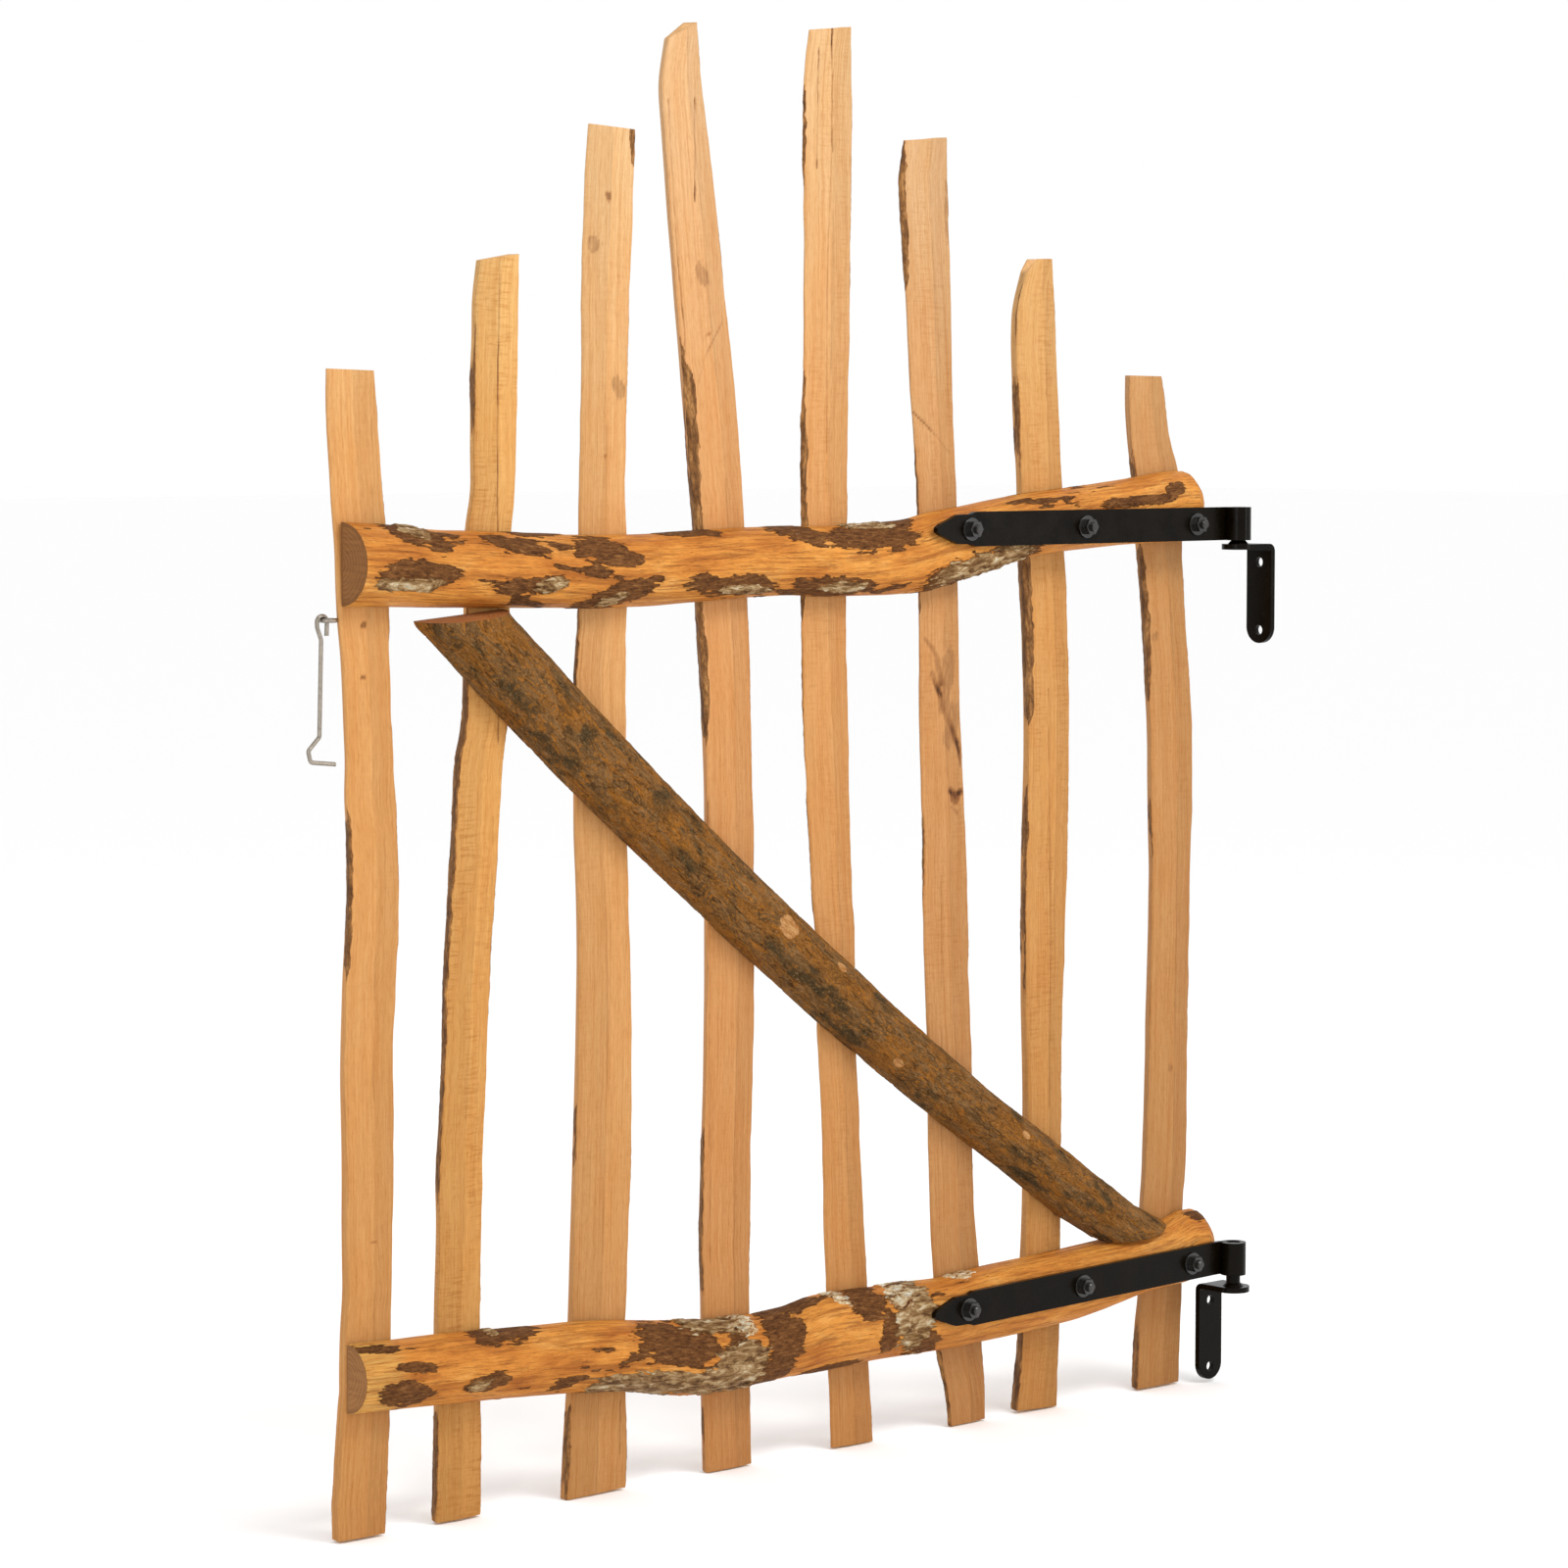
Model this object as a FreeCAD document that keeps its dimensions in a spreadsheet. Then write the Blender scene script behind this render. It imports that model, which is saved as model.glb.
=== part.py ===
import FreeCAD, Part
import os, math
from FreeCAD import Vector as V, Placement, Rotation

os.makedirs("parts", exist_ok=True)
doc = FreeCAD.newDocument("garden_gate")

# ---------------------------------------------------------------- dimensions
sheet = doc.addObject("Spreadsheet::Sheet", "Dims")
DIMS = [
    ("hinge_axis_x", 972.0), ("strap_seat", 29.0), ("strap_thick", 5.0),
    ("strap_height", 30.0), ("pin_dia", 13.0), ("eye_bore", 13.12),
    ("bracket_thick", 5.0), ("bracket_width", 30.0), ("plate_drop", 91.0),
    ("plate_offset", 28.0), ("screw_hole", 9.0), ("hole_one", 17.0),
    ("hole_two", 79.0), ("bolt_dia", 8.0), ("bolt_hole", 8.6),
    ("wire_dia", 3.5), ("nail_dia", 3.4), ("nail_hole", 3.5),
    ("picket_thick_a", 15.0), ("picket_thick_b", 14.0), ("picket_thick_c", 16.0),
]
for n, (name, val) in enumerate(DIMS, 1):
    sheet.set("A%d" % n, name)
    sheet.set("B%d" % n, str(val))
    sheet.setAlias("B%d" % n, name)
doc.recompute()
D = dict(DIMS)

AX = D["hinge_axis_x"]
SEAT = -D["strap_seat"]
ST = D["strap_thick"]
EYE_R = D["eye_bore"] / 2 + ST
AY = SEAT - EYE_R
Z_UP = 783.5
Z_LO = 109.6
SHIFT = V(0, 0, 0)
NODES = []


# ------------------------------------------------------------------- helpers
def plane(body, role):
    for f in body.Origin.OriginFeatures:
        if f.Role == role:
            return f


def geo(sk, segs):
    for s in segs:
        if s[0] == "L":
            sk.addGeometry(Part.LineSegment(V(s[1][0], s[1][1], 0), V(s[2][0], s[2][1], 0)), False)
        elif s[0] == "A":
            sk.addGeometry(Part.Arc(V(s[1][0], s[1][1], 0), V(s[2][0], s[2][1], 0), V(s[3][0], s[3][1], 0)), False)
        elif s[0] == "C":
            sk.addGeometry(Part.Circle(V(s[1][0], s[1][1], 0), V(0, 0, 1), s[2]), False)


def poly(pts):
    return [("L", pts[k], pts[(k + 1) % len(pts)]) for k in range(len(pts))]


def sketch(body, role, name, segs, offset=0.0, rot=None):
    sk = body.newObject("Sketcher::SketchObject", name)
    sk.AttachmentSupport = [(plane(body, role), "")]
    sk.MapMode = "FlatFace"
    sk.AttachmentOffset = Placement(V(0, 0, offset), rot or Rotation())
    geo(sk, segs)
    return sk


def pad(body, sk, name, length, rev=False, mid=False, expr=None):
    p = body.newObject("PartDesign::Pad", name)
    p.Profile = sk
    p.Length = length
    p.Reversed = rev
    if mid:
        p.SideType = "Symmetric"
    if expr:
        p.setExpression("Length", expr)
    sk.Visibility = False
    doc.recompute()
    return p


def pocket(body, sk, name, length=None, rev=False, mid=False):
    before = body.Shape.Volume
    p = body.newObject("PartDesign::Pocket", name)
    p.Profile = sk
    if length is None:
        p.Type = "ThroughAll"
    else:
        p.Length = length
    if mid:
        p.SideType = "Symmetric"
    p.Reversed = rev
    sk.Visibility = False
    doc.recompute()
    if not body.Shape.Volume < before - 1.0:
        raise RuntimeError("pocket %s removed nothing" % name)
    return p


def new_body(name):
    b = doc.addObject("PartDesign::Body", name)
    b.Label = name
    doc.recompute()
    NODES.append(b)
    return b


def bind_circle(sk, index, alias):
    c = sk.addConstraint(Sketcher.Constraint("Diameter", index, D[alias]))
    sk.setExpression("Constraints[%d]" % c, "Dims.%s" % alias)


import Sketcher

# ------------------------------------------------------------------- pickets
# thickness, z of the bottom corners, z of the top corners, left edge, right edge
PICKETS = {
    1: (15, [-8.0, -8.0], [918.2, 916.9],
        [-18.8, -14.5, -9.4, -8.1, -8.5, -7.8, -2.8, -5.2, -6.9, -13.7, -18.7, -21.8],
        [26.2, 31.2, 33.3, 35.7, 37.7, 39.2, 44.2, 41.5, 37.0, 34.5, 29.2, 22.8]),
    2: (15, [-8.0, -8.0], [1005.3, 1010.9],
        [80.0, 82.4, 83.3, 84.6, 91.3, 95.4, 103.4, 114.8, 116.5, 124.5, 124.2, 126.4],
        [125.1, 125.7, 125.8, 128.5, 133.9, 138.3, 146.5, 158.0, 159.4, 165.5, 168.3, 169.7]),
    3: (14, [-9.6, -7.9], [1117.6, 1114.6],
        [214.4, 221.2, 223.9, 227.5, 230.2, 229.6, 227.1, 231.3, 232.1, 235.0, 236.4, 243.3],
        [277.6, 277.9, 281.0, 284.9, 284.7, 282.2, 280.5, 280.1, 279.1, 281.5, 287.4, 291.8]),
    4: (15, [-9.2, -8.2], [1190.5, 1205.2],
        [368.1, 365.7, 364.0, 368.5, 370.3, 370.4, 366.9, 359.1, 350.4, 338.1, 325.7, 322.0],
        [417.2, 415.6, 416.2, 419.2, 420.6, 420.2, 416.5, 412.0, 402.5, 387.9, 372.8, 357.7]),
    5: (15, [-8.2, -9.3], [1205.6, 1210.5],
        [511.2, 507.0, 502.5, 497.0, 493.7, 484.3, 477.8, 476.4, 476.5, 479.2, 478.7, 485.8],
        [560.1, 554.0, 546.8, 539.2, 537.3, 531.7, 528.6, 528.1, 528.7, 530.9, 532.8, 533.0]),
    6: (14, [-9.3, -8.1], [1117.1, 1121.4],
        [652.7, 630.3, 627.4, 626.7, 622.3, 620.3, 615.8, 614.6, 612.2, 602.6, 590.9, 595.5],
        [695.8, 689.6, 681.5, 678.2, 673.4, 670.2, 663.1, 660.4, 657.1, 651.4, 648.0, 644.5]),
    7: (16, [-7.0, -9.0], [1006.8, 1019.6],
        [731.3, 743.3, 747.5, 749.9, 747.1, 746.7, 748.8, 749.1, 743.7, 738.0, 725.8, 734.2],
        [786.0, 794.5, 793.3, 791.2, 792.0, 795.8, 798.1, 798.2, 796.5, 788.4, 781.1, 774.0]),
    8: (15, [-8.1, -7.9], [917.3, 916.7],
        [888.7, 897.9, 899.1, 904.2, 905.3, 908.5, 908.1, 906.1, 901.1, 891.8, 880.2, 870.9],
        [945.2, 949.5, 950.3, 954.4, 955.0, 956.8, 958.1, 959.0, 953.9, 945.8, 937.8, 914.4]),
}
THICK = {15: "picket_thick_a", 14: "picket_thick_b", 16: "picket_thick_c"}


def edge_at(zs, xs, z):
    for k in range(len(zs) - 1):
        if zs[k] <= z <= zs[k + 1]:
            return xs[k] + (xs[k + 1] - xs[k]) * (z - zs[k]) / (zs[k + 1] - zs[k])
    return xs[-1]


def zlist(z0, z1, n):
    return [z0 + (z1 - z0) * k / (n - 1) for k in range(n)]


# hole centres: nails (x, z) and bolts (x, z)
HOLE_X = (640.0, 782.0, 924.0)
LO_SLOPE = 0.0262


def lo_z(x):
    return Z_LO + 0.9 - (AX - x) * LO_SLOPE


UP_BOLTS = [(x, Z_UP) for x in HOLE_X]
LO_BOLTS = [(x, lo_z(x)) for x in HOLE_X]


def mid_x(i, z):
    th, zb, zt, L, R = PICKETS[i]
    zs = zlist(zb[0], zt[0], len(L))
    return 0.5 * (edge_at(zs, L, z) + edge_at(zs, R, z))


TOP_NAIL_Z = {1: 766, 2: 760, 3: 756, 4: 756, 5: 759, 6: 757, 7: 789, 8: 812}
LOW_NAIL_Z = {1: 120, 2: 116, 3: 108, 4: 92, 5: 95, 6: 82, 7: 88, 8: 100}
top_nails = [(mid_x(i, z), z) for i, z in TOP_NAIL_Z.items()]
low_nails = [(mid_x(i, z), z) for i, z in LOW_NAIL_Z.items()]
top_nails[6] = (762.0, 789.0)
top_nails[7] = (905.0, 806.0)
low_nails[7] = (905.0, 120.0)
# brace nails in pickets 2 to 7, on the brace centre line
BR_A = (104.0, 721.0)
BR_B = (868.0, 143.0)


def brace_x(z):
    return BR_A[0] + (BR_B[0] - BR_A[0]) * (BR_A[1] - z) / (BR_A[1] - BR_B[1])


BRACE_NAIL_Z = {2: 688, 3: 602, 4: 490, 5: 408, 6: 303, 7: 214}
brace_nails = [(brace_x(z), z) for i, z in BRACE_NAIL_Z.items()]

for i in range(1, 9):
    th, zb, zt, L, R = PICKETS[i]
    b = new_body("picket_%d" % i)
    zl = zlist(zb[0], zt[0], len(L))
    zr = zlist(zb[1], zt[1], len(R))
    pts = [(x, z) for x, z in zip(L, zl)]
    if i == 7:
        pts.append((748.0, 1019.1))
    pts += [(x, z) for x, z in reversed(list(zip(R, zr)))]
    sk = sketch(b, "XZ_Plane", "p%d_outline" % i, poly(pts))
    pad(b, sk, "p%d_board" % i, th, rev=True, expr="Dims.%s" % THICK[th])
    holes = [("C", top_nails[i - 1], D["nail_hole"] / 2), ("C", low_nails[i - 1], D["nail_hole"] / 2)]
    if i in BRACE_NAIL_Z:
        z = BRACE_NAIL_Z[i]
        holes.append(("C", (brace_x(z), z), D["nail_hole"] / 2))
    hs = sketch(b, "XZ_Plane", "p%d_nail_holes" % i, holes)
    for k in range(len(holes)):
        bind_circle(hs, k, "nail_hole")
    pocket(b, hs, "p%d_nail_bores" % i)
    if i >= 6:
        k = i - 6
        bs = sketch(b, "XZ_Plane", "p%d_bolt_holes" % i,
                    [("C", UP_BOLTS[k], D["bolt_hole"] / 2), ("C", LO_BOLTS[k], D["bolt_hole"] / 2)])
        bind_circle(bs, 0, "bolt_hole")
        bind_circle(bs, 1, "bolt_hole")
        pocket(b, bs, "p%d_bolt_bores" % i)
    if i == 1:
        # pilot for the screw eye, in the left edge
        ss = sketch(b, "YZ_Plane", "p1_screw_pilot_circle", [("C", (7.0, 722.0), D["nail_hole"] / 2)], offset=16.0)
        pocket(b, ss, "p1_screw_pilot", 45.0)


# --------------------------------------------------------------------- rails
def dsec(zt, zb, depth, power, n=10, clamp=None):
    zc, r = 0.5 * (zt + zb), 0.5 * (zt - zb)
    pts = []
    for k in range(n + 1):
        a = math.pi / 2 - math.pi * k / n
        s, c = math.sin(a), math.cos(a)
        z = zc + r * math.copysign(abs(s) ** (2 / power), s)
        y = -depth * max(c, 0.0) ** (2 / power)
        pts.append((y, z))
    pts[0] = (0.0, zt)
    pts[-1] = (0.0, zb)
    if clamp is not None:
        pts = [(max(y, clamp), z) for y, z in pts]
    return pts


# x, top z, bottom z, depth, fullness
TOP_RAIL = [
    (-12, 799, 733, 34, 2.0), (25, 796.6, 731.5, 33.5, 2.05), (75, 791.5, 729.5, 32.5, 2.1),
    (130, 789.3, 728, 31, 2.1), (184, 786.5, 726.5, 30, 2.1), (240, 784.3, 725, 29.5, 2.1),
    (300, 784.6, 724.8, 29, 2.1), (350, 786.3, 726.8, 29, 2.1), (405, 788.3, 729, 28.5, 2.1),
    (455, 788.5, 730, 28, 2.1), (517, 787.4, 727.6, 28.5, 2.1), (560, 789, 727.4, 29, 2.15),
    (592, 791.6, 728, 29, 2.25), (614, 797.4, 729.5, 29, 2.4), (652, 801.7, 738.5, 29, 2.4),
    (682, 806.2, 744.5, 29, 2.4), (726, 812, 755.8, 29, 2.4), (788, 817.2, 761.5, 29, 2.4),
    (863, 824.4, 765.8, 29, 2.4), (916, 831.2, 766.6, 29, 2.4), (934, 831.4, 766.8, 29, 2.4),
    (942, 825, 770, 27, 2.2), (946, 816, 777, 22, 2.1),
]
LOW_RAIL = [
    (-12, 150, 94, 27, 2.0), (32, 148, 91.5, 27.5, 2.05), (77, 147, 89.5, 28, 2.1),
    (143, 142.6, 85.8, 28, 2.1), (217, 139.7, 80.5, 28.5, 2.1), (264, 135, 77.2, 29, 2.1),
    (300, 130, 69.5, 29.5, 2.1), (326, 127, 62.9, 30, 2.1), (360, 122.2, 60.2, 30, 2.1),
    (414, 121, 61.5, 29.5, 2.1), (453, 123, 63, 29, 2.15), (481, 129, 62.5, 29, 2.15),
    (553, 127.8, 64, 29, 2.2), (590, 127.8, 63.5, 29, 2.3), (630, 126, 63, 29, 2.4),
    (692, 131, 64, 29, 2.4), (754, 132.5, 66.5, 29, 2.4), (800, 135, 69, 29, 2.4),
    (843, 137.3, 75.5, 29, 2.3), (888, 141.5, 83, 29, 2.2), (908, 144.2, 84.4, 29, 2.2),
    (918, 145.9, 84.8, 29, 2.2), (937, 152, 85.2, 29, 2.3), (956, 152.5, 87.5, 28, 2.2), (965, 143.5, 96, 24, 2.1),
]


def rail(name, table, bolts, nails):
    b = new_body(name)
    sks = []
    for k, (x, zt, zb, dep, pw) in enumerate(table):
        s = sketch(b, "YZ_Plane", "%s_section_%02d" % (name, k), poly(dsec(zt, zb, dep, pw)), offset=x)
        s.Visibility = False
        sks.append(s)
    doc.recompute()
    lo = b.newObject("PartDesign::AdditiveLoft", name + "_log")
    lo.Profile = sks[0]
    lo.Sections = sks[1:]
    lo.Ruled = True
    doc.recompute()
    bs = sketch(b, "XZ_Plane", name + "_bolt_holes", [("C", p, D["bolt_hole"] / 2) for p in bolts])
    for k in range(len(bolts)):
        bind_circle(bs, k, "bolt_hole")
    pocket(b, bs, name + "_bolt_bores", rev=True)
    ns = sketch(b, "XZ_Plane", name + "_nail_holes", [("C", p, D["nail_hole"] / 2) for p in nails])
    for k in range(len(nails)):
        bind_circle(ns, k, "nail_hole")
    pocket(b, ns, name + "_nail_bores", 20.0, rev=True)
    return b


rail("top_rail", TOP_RAIL, UP_BOLTS, top_nails)
rail("bottom_rail", LOW_RAIL, LO_BOLTS, low_nails)


# --------------------------------------------------------------------- brace
def half_ellipse(xc, rx, depth, power=2.1, n=12):
    pts = []
    for k in range(n + 1):
        a = math.pi * k / n
        s, c = math.sin(a), math.cos(a)
        x = xc + rx * math.copysign(abs(c) ** (2 / power), c)
        pts.append((x, -depth * max(s, 0.0) ** (2 / power)))
    pts[0] = (xc + rx, 0.0)
    pts[-1] = (xc - rx, 0.0)
    return pts


b = new_body("diagonal_brace")
BRACE = [(660, 171.5, 50.5, 31), (588, 255, 50.3, 30.5), (512, 347.8, 49, 30),
         (440, 438.8, 48.7, 29.5), (360, 543.8, 48.2, 29), (285, 649.2, 46.6, 28), (215, 755.4, 46.8, 27.5),
         (165, 830, 48, 27)]
# the head is cut to lie along the underside of the top rail, a little lower in front
head = sketch(b, "XY_Plane", "brace_head", poly(half_ellipse(104.2, 46.2, 30)), offset=0)
head.AttachmentOffset = Placement(V(0, 0, 719.4 - 58 * 0.08), Rotation(V(0, 1, 0), -math.degrees(math.atan(0.08))).multiply(Rotation(V(1, 0, 0), math.degrees(math.atan(0.12)))))
head.Visibility = False
sks = [head]
for k, (z, xc, rx, dep) in enumerate(BRACE):
    s = sketch(b, "XY_Plane", "brace_section_%02d" % (k + 1), poly(half_ellipse(xc, rx, dep)), offset=z)
    s.Visibility = False
    sks.append(s)
end = sketch(b, "XY_Plane", "brace_foot", poly(half_ellipse(871.5, 45, 25)), offset=0)
end.AttachmentOffset = Placement(V(0, 0, 140.5 - 834 * 0.075 + 0.0), Rotation(V(0, 1, 0), -math.degrees(math.atan(0.075))).multiply(Rotation(V(1, 0, 0), math.degrees(math.atan(0.3)))))
end.Visibility = False
sks.append(end)
doc.recompute()
lo = b.newObject("PartDesign::AdditiveLoft", "brace_log")
lo.Profile = sks[0]
lo.Sections = sks[1:]
lo.Ruled = True
doc.recompute()
ns = sketch(b, "XZ_Plane", "brace_nail_holes", [("C", p, D["nail_hole"] / 2) for p in brace_nails])
for k in range(len(brace_nails)):
    bind_circle(ns, k, "nail_hole")
pocket(b, ns, "brace_nail_bores", 20.0, rev=True)


# -------------------------------------------------------------------- straps
def strap(name, zc, slope):
    b = new_body(name)
    def line(x):
        return zc + (0.9 if slope else 0.0) - (AX - x) * slope
    outline = [(600, -1.8), (604, -4.5), (625, -12.6), (641, -13.0), (646, -15.0), (AX, -15.0),
               (AX, 15.0), (646, 15.0), (641, 13.0), (625, 12.6), (604, 4.5), (600, 1.8)]
    pts = [(x, line(x) + h) for x, h in outline]
    if slope:
        pts[5] = (AX, zc - 15.0)
        pts[6] = (AX, zc + 15.0)
        pts.insert(5, (AX - 14, line(AX - 14) - 15.0))
        pts.insert(8, (AX - 14, line(AX - 14) + 15.0))
    sk = sketch(b, "XZ_Plane", name + "_outline", poly(pts), offset=-SEAT)
    pad(b, sk, name + "_bar", ST, expr="Dims.strap_thick")
    ring = sketch(b, "XY_Plane", name + "_eye_ring", [("C", (AX, AY), EYE_R)], offset=zc - 15.0)
    pad(b, ring, name + "_eye", 30.0, expr="Dims.strap_height")
    bore = sketch(b, "XY_Plane", name + "_bore_circle", [("C", (AX, AY), D["eye_bore"] / 2)], offset=zc)
    bind_circle(bore, 0, "eye_bore")
    pocket(b, bore, name + "_bore", 80.0, mid=True)
    slit = sketch(b, "XY_Plane", name + "_slit_outline",
                  poly([(AX - 13, SEAT - ST - 0.8), (AX - 4, SEAT - ST - 0.8), (AX - 4, SEAT - ST), (AX - 13, SEAT - ST)]), offset=zc)
    pocket(b, slit, name + "_roll_slit", 80.0, mid=True)
    hs = sketch(b, "XZ_Plane", name + "_hole_circles", [("C", (x, line(x)), D["bolt_hole"] / 2) for x in HOLE_X])
    for k in range(3):
        bind_circle(hs, k, "bolt_hole")
    pocket(b, hs, name + "_holes", rev=True)
    return b


strap("upper_strap", Z_UP, 0.0)
strap("lower_strap", Z_LO, LO_SLOPE)


# --------------------------------------------- bolts, washers, nuts and nails
def prim(kind, name, **props):
    o = doc.addObject(kind, name)
    for k, v in props.items():
        setattr(o, k, v)
    o.Visibility = False
    return o


def along_y(x, y0, z):
    # primitive axis from +Z onto -Y, base at y0
    return Placement(V(x, y0, z), Rotation(V(1, 0, 0), 90))


def compound(name, objs):
    c = doc.addObject("Part::Compound", name)
    c.Label = name
    c.Links = objs
    doc.recompute()
    NODES.append(c)
    return c


BACK = {0: 14.0, 1: 16.0, 2: 15.0}
for tag, bolts in (("upper", UP_BOLTS), ("lower", LO_BOLTS)):
    bl, ws, nt = [], [], []
    for k, (x, z) in enumerate(bolts):
        yb = BACK[k]
        n = "%s%d" % (tag, k)
        shank_end = -(SEAT - ST) + 1.8 + 6.5 + 4.0
        sh = prim("Part::Cylinder", n + "_shank", Radius=D["bolt_dia"] / 2, Height=yb + shank_end - 1.0, Placement=along_y(x, yb, z))
        tip = prim("Part::Cone", n + "_point", Radius1=D["bolt_dia"] / 2, Radius2=D["bolt_dia"] / 2 - 1.0, Height=1.0, Placement=along_y(x, -shank_end + 1.0, z))
        hd = prim("Part::Cone", n + "_head", Radius1=5.5, Radius2=9.5, Height=3.0, Placement=along_y(x, yb + 4.2, z))
        rim = prim("Part::Cylinder", n + "_rim", Radius=9.5, Height=1.2, Placement=along_y(x, yb + 1.2, z))
        f = doc.addObject("Part::MultiFuse", n + "_bolt")
        f.Shapes = [sh, tip, hd, rim]
        bl.append(f)
        wo = prim("Part::Cylinder", n + "_wo", Radius=10.0, Height=1.7, Placement=along_y(x, SEAT - ST, z))
        wi = prim("Part::Cylinder", n + "_wi", Radius=4.25, Height=6.0, Placement=along_y(x, SEAT - ST + 2, z))
        w = doc.addObject("Part::Cut", n + "_washer")
        w.Base, w.Tool = wo, wi
        ws.append(w)
        no = prim("Part::Prism", n + "_no", Polygon=6, Circumradius=7.5, Height=6.5, Placement=along_y(x, SEAT - ST - 1.7, z))
        ni = prim("Part::Cylinder", n + "_ni", Radius=4.03, Height=12.0, Placement=along_y(x, SEAT - ST, z))
        nn = doc.addObject("Part::Cut", n + "_nut")
        nn.Base, nn.Tool = no, ni
        nt.append(nn)
    doc.recompute()
    compound(tag + "_strap_bolts", bl)
    compound(tag + "_strap_washers", ws)
    compound(tag + "_strap_nuts", nt)

TH = {i: PICKETS[i][0] for i in PICKETS}


def nails(name, items, depth):
    parts = []
    for k, (x, z, yb) in enumerate(items):
        sh = prim("Part::Cylinder", "%s_%d_shank" % (name, k), Radius=D["nail_dia"] / 2, Height=yb + depth, Placement=along_y(x, yb, z))
        hd = prim("Part::Cylinder", "%s_%d_head" % (name, k), Radius=4.0, Height=1.3, Placement=along_y(x, yb + 1.3, z))
        f = doc.addObject("Part::MultiFuse", "%s_%d" % (name, k))
        f.Shapes = [sh, hd]
        parts.append(f)
    doc.recompute()
    return compound(name, parts)


nails("top_rail_nails", [(x, z, TH[i + 1]) for i, (x, z) in enumerate(top_nails)], 18.0)
nails("bottom_rail_nails", [(x, z, TH[i + 1]) for i, (x, z) in enumerate(low_nails)], 18.0)
nails("brace_nails", [(p[0], p[1], TH[i]) for p, i in zip(brace_nails, sorted(BRACE_NAIL_Z))], 18.0)


# ----------------------------------------------------- pin plates and hinge pins
def pin_plate(name, role, zt, a_axis):
    # profile in the plane of the bend: a grows from the pin toward the plate
    t = D["bracket_thick"]
    off = D["plate_offset"]
    drop = D["plate_drop"]
    w = D["bracket_width"] / 2
    R, r = 7.0, 2.0
    c = (off - r, -R)
    q = math.sqrt(0.5)
    prof = [("L", (-w, 0), (c[0], 0)),
            ("A", (c[0], 0), (c[0] + R * q, c[1] + R * q), (c[0] + R, c[1])),
            ("L", (c[0] + R, c[1]), (off + t, -drop)),
            ("L", (off + t, -drop), (off, -drop)),
            ("L", (off, -drop), (off, c[1])),
            ("A", (off, c[1]), (c[0] + r * q, c[1] + r * q), (c[0], c[1] + r)),
            ("L", (c[0], -t), (-w, -t)),
            ("L", (-w, -t), (-w, 0))]
    b = new_body(name)
    if a_axis == "X":
        f = lambda p: (AX + p[0], zt + p[1])
        sk = sketch(b, "XZ_Plane", name + "_profile", [tuple([s[0]] + [f(p) for p in s[1:]]) for s in prof], offset=-AY)
    else:
        f = lambda p: (AY + p[0], zt + p[1])
        sk = sketch(b, "YZ_Plane", name + "_profile", [tuple([s[0]] + [f(p) for p in s[1:]]) for s in prof], offset=AX)
    pad(b, sk, name + "_strip", D["bracket_width"], mid=True, expr="Dims.bracket_width")
    # rounded end of the tab, seen from above
    g = (lambda a, s: (AX + a, AY + s)) if a_axis == "X" else (lambda a, s: (AX + s, AY + a))
    e = w + 2
    sk = sketch(b, "XY_Plane", name + "_tab_trim",
                [("A", g(0, w), g(-w, 0), g(0, -w)), ("L", g(0, -w), g(0, -e)), ("L", g(0, -e), g(-e, -e)),
                 ("L", g(-e, -e), g(-e, e)), ("L", g(-e, e), g(0, e)), ("L", g(0, e), g(0, w))], offset=zt)
    pocket(b, sk, name + "_tab_round", 20.0, mid=True)
    # rounded foot of the plate
    zf = zt - drop + w
    if a_axis == "X":
        h2 = lambda s, z: (AY + s, z)
        role2, off2 = "YZ_Plane", AX + off + t / 2
    else:
        h2 = lambda s, z: (AX + s, z)
        role2, off2 = "XZ_Plane", -(AY + off + t / 2)
    sk = sketch(b, role2, name + "_foot_trim",
                [("A", h2(w, zf), h2(0, zf - w), h2(-w, zf)), ("L", h2(-w, zf), h2(-e, zf)), ("L", h2(-e, zf), h2(-e, zf - e)),
                 ("L", h2(-e, zf - e), h2(e, zf - e)), ("L", h2(e, zf - e), h2(e, zf)), ("L", h2(e, zf), h2(w, zf))], offset=off2)
    pocket(b, sk, name + "_foot_round", 20.0, mid=True)
    sk = sketch(b, role2, name + "_screw_hole_circles",
                [("C", h2(0, zt - D["hole_one"]), D["screw_hole"] / 2), ("C", h2(0, zt - D["hole_two"]), D["screw_hole"] / 2)], offset=off2)
    bind_circle(sk, 0, "screw_hole")
    bind_circle(sk, 1, "screw_hole")
    pocket(b, sk, name + "_screw_holes", 20.0, mid=True)
    sk = sketch(b, "XY_Plane", name + "_pin_hole_circle", [("C", (AX, AY), D["pin_dia"] / 2 + 0.02)], offset=zt)
    pocket(b, sk, name + "_pin_hole", 20.0, mid=True)
    return b


def hinge_pin(name, zt, top):
    b = new_body(name)
    r = D["pin_dia"] / 2
    t = D["bracket_thick"]
    # half profile turned about the pin axis
    prof = [(AX, zt - t), (AX + r - 0.6, zt - t), (AX + r, zt - t + 0.6), (AX + r, zt), (AX + r + 3.2, zt), (AX + r, zt + 3.2),
            (AX + r, top - 1.2), (AX + r - 1.2, top), (AX, top)]
    sk = sketch(b, "XZ_Plane", name + "_profile", poly(prof), offset=-AY)
    rv = b.newObject("PartDesign::Revolution", name + "_turned")
    rv.Profile = sk
    n = len(prof)
    rv.ReferenceAxis = (sk, ["Edge%d" % n])
    rv.Angle = 360
    sk.Visibility = False
    doc.recompute()
    return b


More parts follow.
